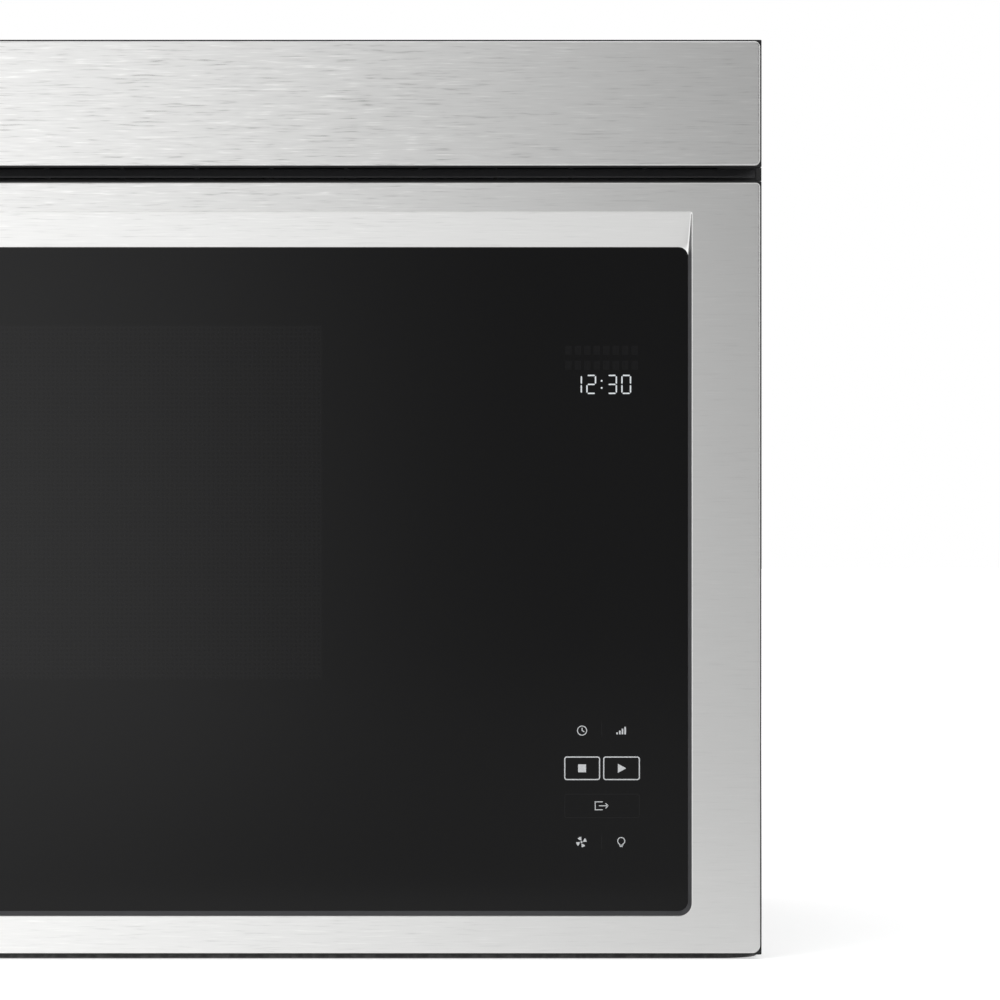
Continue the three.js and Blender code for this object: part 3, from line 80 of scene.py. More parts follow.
class Tree:
    """A node tree under construction, with short ways to add and join nodes."""

    def __init__(self, tree: bpy.types.NodeTree) -> None:
        """Takes the tree to build in.

        Args:
            tree: The node tree of a material, a world or a group.
        """
        self.tree = tree

    def add(self, kind: str, **settings: object) -> bpy.types.Node:
        """Adds a node.

        Args:
            kind: Blender's type name of the node.
            settings: Properties to set on it.

        Returns:
            The new node.
        """
        node = self.tree.nodes.new(kind)
        for name, value in settings.items():
            setattr(node, name, value)
        return node

    def feed(self, socket: bpy.types.NodeSocket, value: Value) -> None:
        """Gives an input a plain value, or links an output to it.

        Args:
            socket: The input.
            value: A number, a colour, a vector or an output socket.
        """
        if isinstance(value, bpy.types.NodeSocket):
            self.tree.links.new(value, socket)
        elif isinstance(value, (int, float)):
            socket.default_value = value
        else:
            values = tuple(value)
            socket.default_value = (*values, 1.0) if len(socket.default_value) > len(values) else values

    def calc(
        self, operation: str, first: Value, second: Value = 0.0, third: Value = 0.0
    ) -> bpy.types.NodeSocket:
        """Adds a Math node.

        Args:
            operation: The operation's name in Blender.
            first: First value.
            second: Second value.
            third: Third value, where the operation has one.

        Returns:
            The result.
        """
        node = self.add("ShaderNodeMath", operation=operation)
        for socket, value in zip(node.inputs, (first, second, third)):
            self.feed(socket, value)
        return node.outputs[0]

    def between(
        self, value: Value, low: float, high: float, to_low: float, to_high: float
    ) -> bpy.types.NodeSocket:
        """Maps a value smoothly from one range to another and keeps it inside.

        Args:
            value: The value to map.
            low: Start of its range.
            high: End of its range.
            to_low: Result at the start.
            to_high: Result at the end.

        Returns:
            The mapped value.
        """
        node = self.add("ShaderNodeMapRange", interpolation_type="SMOOTHSTEP")
        for socket, part in zip(node.inputs[:5], (value, low, high, to_low, to_high)):
            self.feed(socket, part)
        return node.outputs[0]

    def blend(self, amount: Value, first: Value, second: Value) -> bpy.types.NodeSocket:
        """Mixes two colours.

        Args:
            amount: 0 gives the first and 1 the second.
            first: First colour.
            second: Second colour.

        Returns:
            The mixed colour.
        """
        node = self.add("ShaderNodeMix", data_type="RGBA", clamp_factor=True)
        self.feed(node.inputs[0], amount)
        self.feed(node.inputs[6], first)
        self.feed(node.inputs[7], second)
        return node.outputs[2]

    def place(self) -> bpy.types.NodeSocket:
        """Positions in the object's own metres."""
        return self.add("ShaderNodeTexCoord").outputs["Object"]

    def stretched(self, vector: bpy.types.NodeSocket, scale: Value) -> bpy.types.NodeSocket:
        """Positions multiplied axis by axis.

        Args:
            vector: The positions.
            scale: Three factors.

        Returns:
            The stretched positions.
        """
        node = self.add("ShaderNodeVectorMath", operation="MULTIPLY")
        self.feed(node.inputs[0], vector)
        self.feed(node.inputs[1], scale)
        return node.outputs[0]

    def noise(self, vector: bpy.types.NodeSocket, scale: Value, detail: float = 2.0) -> bpy.types.NodeSocket:
        """Soft noise.

        Args:
            vector: The positions.
            scale: Waves per metre.
            detail: Octaves of finer noise.

        Returns:
            The noise, from 0 to 1.
        """
        node = self.add("ShaderNodeTexNoise")
        self.feed(node.inputs["Vector"], vector)
        self.feed(node.inputs["Scale"], scale)
        node.inputs["Detail"].default_value = detail
        return node.outputs[0]

    def cells(self, vector: bpy.types.NodeSocket, scale: Value, feature: str = "F1") -> bpy.types.Node:
        """A Voronoi texture.

        Args:
            vector: The positions.
            scale: Cells per metre.
            feature: Which distance it gives.

        Returns:
            The texture node.
        """
        node = self.add("ShaderNodeTexVoronoi", feature=feature)
        self.feed(node.inputs["Vector"], vector)
        self.feed(node.inputs["Scale"], scale)
        return node

    def parts(self, vector: bpy.types.NodeSocket) -> tuple[bpy.types.NodeSocket, ...]:
        """Takes a vector apart.

        Args:
            vector: The vector.

        Returns:
            Its X, Y and Z.
        """
        node = self.add("ShaderNodeSeparateXYZ")
        self.feed(node.inputs[0], vector)
        return tuple(node.outputs)

    def inside(
        self, value: bpy.types.NodeSocket, low: float, high: float, soft: float
    ) -> bpy.types.NodeSocket:
        """A mask of a range with soft ends.

        Args:
            value: The value to test, in metres.
            low: Start of the range in millimetres.
            high: End of the range in millimetres.
            soft: Width of each soft end in millimetres.

        Returns:
            1 inside and 0 outside.
        """
        start = self.between(value, (low - soft) * MM, (low + soft) * MM, 0.0, 1.0)
        end = self.between(value, (high - soft) * MM, (high + soft) * MM, 1.0, 0.0)
        return self.calc("MULTIPLY", start, end)


class Effect(Enum):
    """Surface effects that several materials share, each one shader node group."""

    BRUSH = "brushed_grain"
    GRAIN = "fine_grain"
    WEAR = "edge_wear"
    DUST = "settled_dust"


class Effects:
    """Builds each shared effect once and places it in materials."""

    def __init__(self) -> None:
        """Builds the four groups."""
        self.groups = {
            Effect.BRUSH: self.brush(),
            Effect.GRAIN: self.grain(),
            Effect.WEAR: self.wear(),
            Effect.DUST: self.dust(),
        }

    @staticmethod
    def start(
        name: str, inputs: dict[str, Value], outputs: Iterable[str]
    ) -> tuple[Tree, bpy.types.Node, bpy.types.Node]:
        """Makes an empty group with named sockets.

        Args:
            name: The group's name.
            inputs: Input names with their first values; a tuple makes a vector input.
            outputs: Names of the outputs, all plain values.

        Returns:
            The tree, its input node and its output node.
        """
        group = bpy.data.node_groups.new(name, "ShaderNodeTree")
        for label, value in inputs.items():
            kind = "NodeSocketVector" if isinstance(value, tuple) else "NodeSocketFloat"
            socket = group.interface.new_socket(label, in_out="INPUT", socket_type=kind)
            socket.default_value = value
        for label in outputs:
            group.interface.new_socket(label, in_out="OUTPUT", socket_type="NodeSocketFloat")
        tree = Tree(group)
        return tree, tree.add("NodeGroupInput"), tree.add("NodeGroupOutput")

    def brush(self) -> bpy.types.NodeTree:
        """Faint even grain with sparse light and dark strokes, long on the axis with the lowest fineness.

        Returns:
            The group.
        """
        inputs = {"Fineness": (90.0, 1200.0, 1500.0), "Strength": 1.0}
        tree, given, made = self.start(Effect.BRUSH.value, inputs, ("Shade", "Height"))
        fine = tree.noise(tree.stretched(tree.place(), given.outputs[0]), 1.0, 2.0)
        light = tree.between(fine, 0.6, 0.8, 0.0, 0.35)
        dark = tree.between(fine, 0.18, 0.42, 0.65, 0.0)
        even = tree.calc("MULTIPLY", tree.calc("SUBTRACT", fine, 0.5), 0.5)
        strokes = tree.calc("ADD", even, tree.calc("SUBTRACT", light, dark))
        tree.feed(made.inputs[0], tree.calc("MULTIPLY", strokes, given.outputs[1]))
        tree.feed(made.inputs[1], tree.calc("MULTIPLY", fine, given.outputs[1]))
        return tree.tree

    def grain(self) -> bpy.types.NodeTree:
        """Even fine grain, as on paint or moulded plastic.

        Returns:
            The group.
        """
        inputs = {"Fineness": 900.0, "Strength": 1.0}
        tree, given, made = self.start(Effect.GRAIN.value, inputs, ("Shade", "Height"))
        place = tree.place()
        fine = tree.noise(place, given.outputs[0], 3.0)
        broad = tree.noise(place, 14.0, 2.0)
        centred = tree.calc("SUBTRACT", tree.calc("ADD", tree.calc("MULTIPLY", fine, 0.5), broad), 0.75)
        tree.feed(made.inputs[0], tree.calc("MULTIPLY", centred, given.outputs[1]))
        tree.feed(made.inputs[1], tree.calc("MULTIPLY", fine, given.outputs[1]))
        return tree.tree

    def wear(self) -> bpy.types.NodeTree:
        """A broken mask along outward edges.

        Returns:
            The group.
        """
        tree, given, made = self.start(Effect.WEAR.value, {"Reach": 0.04, "Amount": 0.6}, ("Mask",))
        bend = tree.add("ShaderNodeNewGeometry").outputs["Pointiness"]
        rise = tree.calc("DIVIDE", tree.calc("SUBTRACT", bend, 0.51), given.outputs[0])
        broken = tree.between(tree.noise(tree.place(), 260.0, 4.0), 0.35, 0.7, 0.0, 1.0)
        edge = tree.calc("MULTIPLY", tree.calc("MINIMUM", tree.calc("MAXIMUM", rise, 0.0), 1.0), broken)
        tree.feed(made.inputs[0], tree.calc("MULTIPLY", edge, given.outputs[1]))
        return tree.tree

    def dust(self) -> bpy.types.NodeTree:
        """A thin film on faces that look upward.

        Returns:
            The group.
        """
        tree, given, made = self.start(Effect.DUST.value, {"Amount": 0.3, "Fineness": 30.0}, ("Mask",))
        up = tree.parts(tree.add("ShaderNodeNewGeometry").outputs["Normal"])[2]
        lying = tree.between(up, 0.5, 1.0, 0.0, 1.0)
        patches = tree.between(tree.noise(tree.place(), given.outputs[1], 5.0), 0.3, 0.75, 0.25, 1.0)
        film = tree.calc("MULTIPLY", lying, patches)
        tree.feed(made.inputs[0], tree.calc("MULTIPLY", film, given.outputs[0]))
        return tree.tree

    def put(self, tree: Tree, effect: Effect, **values: Value) -> bpy.types.Node:
        """Places a shared effect in a material.

        Args:
            tree: The material's tree.
            effect: Which effect.
            values: Input values by name.

        Returns:
            The group node.
        """
        node = tree.add("ShaderNodeGroup", node_tree=self.groups[effect])
        for label, value in values.items():
            tree.feed(node.inputs[label], value)
        return node


# ---- finishes


@dataclass(frozen=True)
class Finish:
    """Plain values of one surface; each kind of finish adds its own texture."""

    name: str
    colour: Colour
    roughness: float
    metallic: float = 0.0
    specular: float = 0.5
    coat: float = 0.0

    def material(self, effects: Effects) -> bpy.types.Material:
        """Makes the material.

        Args:
            effects: The shared effects.

        Returns:
            The material, with its texture.
        """
        made = bpy.data.materials.new(self.name)
        made.use_nodes = True
        made.diffuse_color = (*self.colour, 1.0)
        tree = Tree(made.node_tree)
        shader = made.node_tree.nodes["Principled BSDF"]
        shader.inputs["Base Color"].default_value = (*self.colour, 1.0)
        shader.inputs["Roughness"].default_value = self.roughness
        shader.inputs["Metallic"].default_value = self.metallic
        shader.inputs["Specular IOR Level"].default_value = self.specular
        shader.inputs["Coat Weight"].default_value = self.coat
        self.texture(tree, shader, effects)
        return made

    def texture(self, tree: Tree, shader: bpy.types.Node, effects: Effects) -> None:
        """Adds what changes over the surface; the plain finish has a faint grain.

        Args:
            tree: The material's tree.
            shader: Its shader.
            effects: The shared effects.
        """
        grain = effects.put(tree, Effect.GRAIN, Fineness=700.0, Strength=1.0)
        self.shade(tree, shader, grain.outputs["Shade"], 0.12)

    def shade(
        self, tree: Tree, shader: bpy.types.Node, value: bpy.types.NodeSocket, depth: float
    ) -> bpy.types.NodeSocket:
        """Lightens and darkens the colour by a value about zero.

        Args:
            tree: The material's tree.
            shader: Its shader.
            value: The value, from about -0.5 to 0.5.
            depth: How much of the colour it may change.

        Returns:
            The shaded colour.
        """
        dark = tuple(part * (1 - depth) for part in self.colour)
        light = tuple(min(1.0, part * (1 + depth)) for part in self.colour)
        shaded = tree.blend(tree.calc("ADD", value, 0.5), dark, light)
        tree.feed(shader.inputs["Base Color"], shaded)
        return shaded

    def relief(self, tree: Tree, shader: bpy.types.Node, height: bpy.types.NodeSocket, depth: float) -> None:
        """Adds a bump.

        Args:
            tree: The material's tree.
            shader: Its shader.
            height: The height, from 0 to 1.
            depth: Its full depth in millimetres.
        """
        bump = tree.add("ShaderNodeBump")
        bump.inputs["Distance"].default_value = depth * MM
        tree.feed(bump.inputs["Height"], height)
        tree.feed(shader.inputs["Normal"], bump.outputs[0])


@dataclass(frozen=True)
class BrushedSteel(Finish):
    """Steel or aluminium brushed along the axis with the lowest fineness.

    Where ends is below 1, the strokes weaken to it toward both sides over fade_x and downward over fade_z,
    both in metres; crown is their strength above. In colour this is painted light: the strokes stand out most
    where the highlight is brightest.
    """

    fineness: tuple[float, float, float] = (72.0, 1200.0, 1250.0)
    streaks: float = 0.1
    ends: float = 1.0
    crown: float = 0.95
    fade_x: Range = (0.14, 0.34)
    fade_z: Range = (0.345, 0.378)
    stroke_depth: float = 0.0015

    def texture(self, tree: Tree, shader: bpy.types.Node, effects: Effects) -> None:
        """Streaks in colour, gloss and relief, weaker toward both ends and the foot of a front, which in
        colour is painted light.

        Args:
            tree: The material's tree.
            shader: Its shader.
            effects: The shared effects.
        """
        # strength weakens the strokes away from the brightest highlight: painted light in their colour.
        strength = 1.0
        if self.ends < 1.0:
            x, _, z = tree.parts(tree.place())
            along = tree.between(tree.calc("ABSOLUTE", x), *self.fade_x, 1.0, self.ends)
            upward = tree.between(z, *self.fade_z, self.ends, self.crown)
            strength = tree.calc("MULTIPLY", along, upward)
        brush = effects.put(tree, Effect.BRUSH, Fineness=self.fineness, Strength=strength)
        self.shade(tree, shader, brush.outputs["Shade"], self.streaks)
        rough = tree.calc("MULTIPLY_ADD", brush.outputs["Shade"], 0.1, self.roughness)
        tree.feed(shader.inputs["Roughness"], rough)
        self.relief(tree, shader, brush.outputs["Height"], self.stroke_depth)


@dataclass(frozen=True)
class Painted(Finish):
    """Sprayed or baked paint on sheet steel, with bare metal showing at worn edges and dust on top."""

    bare: Colour = srgb(150, 150, 148)
    dusty: Colour = srgb(168, 164, 156)
    peel: float = 0.02
    dust: float = 0.25
    wear: float = 0.35

    def texture(self, tree: Tree, shader: bpy.types.Node, effects: Effects) -> None:
        """Orange peel, worn edges and settled dust.

        Args:
            tree: The material's tree.
            shader: Its shader.
            effects: The shared effects.
        """
        grain = effects.put(tree, Effect.GRAIN, Fineness=420.0, Strength=1.0)
        wear = effects.put(tree, Effect.WEAR, Reach=0.05, Amount=self.wear)
        dust = effects.put(tree, Effect.DUST, Amount=self.dust, Fineness=24.0)
        paint = self.shade(tree, shader, grain.outputs["Shade"], 0.10)
        worn = tree.blend(wear.outputs["Mask"], paint, self.bare)
        tree.feed(shader.inputs["Base Color"], tree.blend(dust.outputs["Mask"], worn, self.dusty))
        rough = tree.calc("MULTIPLY_ADD", dust.outputs["Mask"], 0.5, self.roughness)
        tree.feed(shader.inputs["Roughness"], rough)
        self.relief(tree, shader, grain.outputs["Height"], self.peel)


@dataclass(frozen=True)
class ZincCoated(Finish):
    """Hot-dip zinc sheet with its crystal spangle."""

    spangle: float = 110.0

    def texture(self, tree: Tree, shader: bpy.types.Node, effects: Effects) -> None:
        """Crystals that differ in shade and gloss.

        Args:
            tree: The material's tree.
            shader: Its shader.
            effects: The shared effects.
        """
        place = tree.place()
        crystals = tree.cells(place, self.spangle)
        tone = tree.parts(crystals.outputs["Color"])[0]
        cloud = tree.noise(place, 18.0, 3.0)
        both = tree.calc("MULTIPLY_ADD", cloud, 0.6, tree.calc("MULTIPLY", tone, 0.7))
        mixed = tree.calc("SUBTRACT", both, 0.65)
        steel = self.shade(tree, shader, mixed, 0.22)
        tree.feed(shader.inputs["Roughness"], tree.calc("MULTIPLY_ADD", tone, 0.16, self.roughness - 0.08))
        dust = effects.put(tree, Effect.DUST, Amount=0.2, Fineness=20.0)
        tree.feed(shader.inputs["Base Color"], tree.blend(dust.outputs["Mask"], steel, srgb(150, 147, 140)))


@dataclass(frozen=True)
class Moulded(Finish):
    """Moulded plastic with a fine spark-eroded texture and rubbed edges."""

    texture_depth: float = 0.03
    fineness: float = 1600.0
    rubbed: float = 0.35

    def texture(self, tree: Tree, shader: bpy.types.Node, effects: Effects) -> None:
        """Fine texture, with edges rubbed a little lighter.

        Args:
            tree: The material's tree.
            shader: Its shader.
            effects: The shared effects.
        """
        grain = effects.put(tree, Effect.GRAIN, Fineness=self.fineness, Strength=1.0)
        wear = effects.put(tree, Effect.WEAR, Reach=0.06, Amount=self.rubbed)
        plain = self.shade(tree, shader, grain.outputs["Shade"], 0.14)
        light = tuple(min(1.0, part * 1.7 + 0.01) for part in self.colour)
        tree.feed(shader.inputs["Base Color"], tree.blend(wear.outputs["Mask"], plain, light))
        rough = tree.calc("MULTIPLY_ADD", grain.outputs["Shade"], 0.15, self.roughness)
        tree.feed(shader.inputs["Roughness"], rough)
        self.relief(tree, shader, grain.outputs["Height"], self.texture_depth)


@dataclass(frozen=True)
class Enamelled(Finish):
    """Baked enamel of the oven, pale with fine dark flecks."""

    fleck: Colour = srgb(96, 94, 90)

    def texture(self, tree: Tree, shader: bpy.types.Node, effects: Effects) -> None:
        """Flecks of two sizes in a glossy coat.

        Args:
            tree: The material's tree.
            shader: Its shader.
            effects: The shared effects.
        """
        place = tree.place()
        small = tree.between(tree.cells(place, 900.0).outputs["Distance"], 0.10, 0.16, 1.0, 0.0)
        large = tree.between(tree.cells(place, 330.0).outputs["Distance"], 0.06, 0.10, 1.0, 0.0)
        grain = effects.put(tree, Effect.GRAIN, Fineness=500.0, Strength=1.0)
        plain = self.shade(tree, shader, grain.outputs["Shade"], 0.05)
        flecks = tree.calc("MULTIPLY", tree.calc("MAXIMUM", small, large), 0.55)
        tree.feed(shader.inputs["Base Color"], tree.blend(flecks, plain, self.fleck))
        self.relief(tree, shader, grain.outputs["Height"], 0.015)


@dataclass(frozen=True)
class TintedGlass(Finish):
    """Dark glass of the door: printed black behind, with a window where the dotted screen shows faintly."""

    window_x: Range = (-258.0, 168.6)
    window_z: Range = (133.5, 303.3)
    window_colour: Colour = srgb(17, 17, 18)
    dot_pitch: float = 2.2

    def texture(self, tree: Tree, shader: bpy.types.Node, effects: Effects) -> None:
        """The window with its dots, and a faint smear in the gloss.

        Args:
            tree: The material's tree.
            shader: Its shader.
            effects: The shared effects; not used.
        """
        place = tree.place()
        x, _, z = tree.parts(place)
        window = tree.calc(
            "MULTIPLY", tree.inside(x, *self.window_x, 0.8), tree.inside(z, *self.window_z, 0.8)
        )
        dots = tree.cells(tree.stretched(place, (1.0, 0.0, 1.0)), 1 / (self.dot_pitch * MM))
        dots.inputs["Randomness"].default_value = 0.0
        hole = tree.between(dots.outputs["Distance"], 0.26, 0.36, 0.35, 1.0)
        seen = tree.blend(hole, self.colour, self.window_colour)
        tree.feed(shader.inputs["Base Color"], tree.blend(window, self.colour, seen))
        smear = tree.noise(tree.stretched(place, (1.0, 1.0, 0.35)), 7.0, 4.0)
        smeared = self.roughness + 0.035
        tree.feed(shader.inputs["Roughness"], tree.between(smear, 0.3, 0.8, self.roughness, smeared))


@dataclass(frozen=True)
class ClearGlass(Finish):
    """Clear pressed glass."""

    waviness: float = 0.02

    def texture(self, tree: Tree, shader: bpy.types.Node, effects: Effects) -> None:
        """Slight waves, with the light passing through.

        Args:
            tree: The material's tree.
            shader: Its shader.
            effects: The shared effects; not used.
        """
        shader.inputs["Transmission Weight"].default_value = 1.0
        shader.inputs["IOR"].default_value = 1.5
        waves = tree.noise(tree.place(), 60.0, 2.0)
        self.relief(tree, shader, waves, self.waviness)
        dulled = self.roughness + 0.05
        tree.feed(shader.inputs["Roughness"], tree.between(waves, 0.3, 0.8, self.roughness, dulled))


@dataclass(frozen=True)
class RibbedGlass(Finish):
    """Frosted lens with close ribs."""

    rib_pitch: float = 3.0

    def texture(self, tree: Tree, shader: bpy.types.Node, effects: Effects) -> None:
        """Ribs across the lens, with frosting.

        Args:
            tree: The material's tree.
            shader: Its shader.
            effects: The shared effects.
        """
        shader.inputs["Transmission Weight"].default_value = 0.7
        wave = tree.add("ShaderNodeTexWave", wave_type="BANDS", bands_direction="X", wave_profile="SIN")
        tree.feed(wave.inputs["Vector"], tree.place())
        wave.inputs["Scale"].default_value = 0.3142 / (self.rib_pitch * MM)
        self.relief(tree, shader, wave.outputs["Fac"], 0.6)
        frost = effects.put(tree, Effect.GRAIN, Fineness=1500.0, Strength=1.0)
        rough = tree.calc("MULTIPLY_ADD", frost.outputs["Shade"], 0.1, self.roughness)
        tree.feed(shader.inputs["Roughness"], rough)


@dataclass(frozen=True)
class Wound(Finish):
    """Iron laminations with lacquered copper windings outside the core's depth."""

    core_y: Range = (-90.1964, -20.1964)
    copper: Colour = srgb(142, 74, 38)
    sheet_pitch: float = 0.9
    wire_pitch: float = 1.1

    def texture(self, tree: Tree, shader: bpy.types.Node, effects: Effects) -> None:
        """Sheet edges on the core and wire turns on the coil.

        Args:
            tree: The material's tree.
            shader: Its shader.
            effects: The shared effects; not used.
        """
        place = tree.place()
        _, y, z = tree.parts(place)
        core = tree.inside(y, *self.core_y, 0.2)
        sheets = tree.calc("PINGPONG", tree.calc("DIVIDE", y, self.sheet_pitch * MM), 1.0)
        turns = tree.calc("PINGPONG", tree.calc("DIVIDE", z, self.wire_pitch * MM), 1.0)
        cloud = tree.noise(place, 90.0, 4.0)
        iron = tree.blend(sheets, self.colour, tuple(part * 2.2 for part in self.colour))
        wire = tree.blend(turns, tuple(part * 0.45 for part in self.copper), self.copper)
        varnish = tuple(part * 0.4 for part in self.copper)
        wire = tree.blend(tree.between(cloud, 0.45, 0.75, 0.0, 0.5), wire, varnish)
        tree.feed(shader.inputs["Base Color"], tree.blend(core, wire, iron))
        tree.feed(shader.inputs["Metallic"], tree.calc("MULTIPLY_ADD", core, 0.5, 0.2))
        rough = tree.calc("MULTIPLY_ADD", core, self.roughness - 0.3, 0.3)
        tree.feed(shader.inputs["Roughness"], rough)
        height = tree.calc("ADD", tree.calc("MULTIPLY", sheets, core), turns)
        self.relief(tree, shader, height, 0.15)


@dataclass(frozen=True)
class BoardFinish(Finish):
    """Circuit board with its traces and pads under green lacquer."""

    trace: Colour = srgb(46, 120, 74)
    pad: Colour = srgb(186, 188, 184)

    def texture(self, tree: Tree, shader: bpy.types.Node, effects: Effects) -> None:
        """Right-angled traces and round pads.

        Args:
            tree: The material's tree.
            shader: Its shader.
            effects: The shared effects; not used.
        """
        place = tree.place()
        lanes = tree.cells(place, 240.0, "DISTANCE_TO_EDGE")
        lane = tree.between(lanes.outputs["Distance"], 0.05, 0.09, 1.0, 0.0)
        dots = tree.cells(place, 390.0)
        dots.inputs["Randomness"].default_value = 0.2
        pads = tree.between(dots.outputs["Distance"], 0.16, 0.2, 1.0, 0.0)
        some = tree.between(tree.noise(place, 60.0, 1.0), 0.5, 0.56, 0.0, 1.0)
        pads = tree.calc("MULTIPLY", pads, some)
        board = tree.blend(lane, self.colour, self.trace)
        tree.feed(shader.inputs["Base Color"], tree.blend(pads, board, self.pad))
        tree.feed(shader.inputs["Metallic"], tree.calc("MULTIPLY", pads, 0.8))
        self.relief(tree, shader, tree.calc("ADD", lane, pads), 0.05)


@dataclass(frozen=True)
class Granular(Finish):
    """Loose grains, as in a charcoal filter."""

    grain_pitch: float = 2.4

    def texture(self, tree: Tree, shader: bpy.types.Node, effects: Effects) -> None:
        """Rounded grains with dark gaps.

        Args:
            tree: The material's tree.
            shader: Its shader.
            effects: The shared effects; not used.
        """
        grains = tree.cells(tree.place(), 1 / (self.grain_pitch * MM))
        tone = tree.calc("SUBTRACT", tree.parts(grains.outputs["Color"])[0], 0.5)
        self.shade(tree, shader, tone, 0.45)
        height = tree.calc("SUBTRACT", 1.0, grains.outputs["Distance"])
        self.relief(tree, shader, height, 1.2)


@dataclass(frozen=True)
class Layered(Finish):
    """Mica sheet with pale flakes."""

    flake: Colour = srgb(214, 204, 178)

    def texture(self, tree: Tree, shader: bpy.types.Node, effects: Effects) -> None:
        """Flakes lying in the sheet.

        Args:
            tree: The material's tree.
            shader: Its shader.
            effects: The shared effects; not used.
        """
        place = tree.stretched(tree.place(), (2.5, 1.0, 1.0))
        flakes = tree.cells(place, 190.0)
        tone = tree.parts(flakes.outputs["Color"])[1]
        cloud = tree.noise(place, 40.0, 5.0)
        amount = tree.between(tree.calc("MULTIPLY", tone, cloud), 0.2, 0.45, 0.0, 0.7)
        tree.feed(shader.inputs["Base Color"], tree.blend(amount, self.colour, self.flake))
        self.relief(tree, shader, tone, 0.05)


@dataclass(frozen=True)
class Perforated(Finish):
    """Black painted screen with round holes in straight rows."""

    pitch: float = 2.2
    hole: float = 0.3

    def texture(self, tree: Tree, shader: bpy.types.Node, effects: Effects) -> None:
        """Holes drawn as clear spots.

        Args:
            tree: The material's tree.
            shader: Its shader.
            effects: The shared effects.
        """
        holes = tree.cells(tree.stretched(tree.place(), (1.0, 0.0, 1.0)), 1 / (self.pitch * MM))
        holes.inputs["Randomness"].default_value = 0.0
        solid = tree.between(holes.outputs["Distance"], self.hole, self.hole + 0.05, 0.0, 1.0)
        tree.feed(shader.inputs["Alpha"], solid)
        grain = effects.put(tree, Effect.GRAIN, Fineness=900.0, Strength=1.0)
        self.shade(tree, shader, grain.outputs["Shade"], 0.2)


@dataclass(frozen=True)
class Printed(Finish):
    """Ink or a lit segment on the glass."""

    glow: float = 0.0

    def texture(self, tree: Tree, shader: bpy.types.Node, effects: Effects) -> None:
        """Uneven ink, glowing where it is a lamp.

        Args:
            tree: The material's tree.
            shader: Its shader.
            effects: The shared effects; not used.
        """
        patchy = tree.calc("SUBTRACT", tree.noise(tree.place(), 2600.0, 2.0), 0.5)
        ink = self.shade(tree, shader, patchy, 0.25)
        if self.glow:
            tree.feed(shader.inputs["Emission Color"], ink)
            shader.inputs["Emission Strength"].default_value = self.glow


@dataclass(frozen=True)
class LampFitting(Finish):
    """A cooktop lamp: frosted lens in the middle, coated steel bracket round it."""

    lens: Colour = srgb(240, 236, 222)
    centre: tuple[float, float] = (158.0, -115.0)
    radius: float = 15.3

    def texture(self, tree: Tree, shader: bpy.types.Node, effects: Effects) -> None:
        """The lens by its distance from the lamp's axis, the same on both sides.

        Args:
            tree: The material's tree.
            shader: Its shader.
            effects: The shared effects.
        """
        place = tree.place()
        x, y, _ = tree.parts(place)
        across = tree.calc("SUBTRACT", tree.calc("ABSOLUTE", x), self.centre[0] * MM)
        along = tree.calc("SUBTRACT", y, self.centre[1] * MM)
        squares = tree.calc("ADD", tree.calc("MULTIPLY", across, across), tree.calc("MULTIPLY", along, along))
        lens = tree.between(tree.calc("SQRT", squares), self.radius * MM, (self.radius + 0.2) * MM, 1.0, 0.0)
        grain = effects.put(tree, Effect.GRAIN, Fineness=600.0, Strength=1.0)
        steel = self.shade(tree, shader, grain.outputs["Shade"], 0.2)
        tree.feed(shader.inputs["Base Color"], tree.blend(lens, steel, self.lens))
        tree.feed(shader.inputs["Metallic"], tree.calc("MULTIPLY", tree.calc("SUBTRACT", 1.0, lens), 0.9))
        tree.feed(shader.inputs["Roughness"], tree.calc("MULTIPLY_ADD", lens, -0.2, self.roughness))


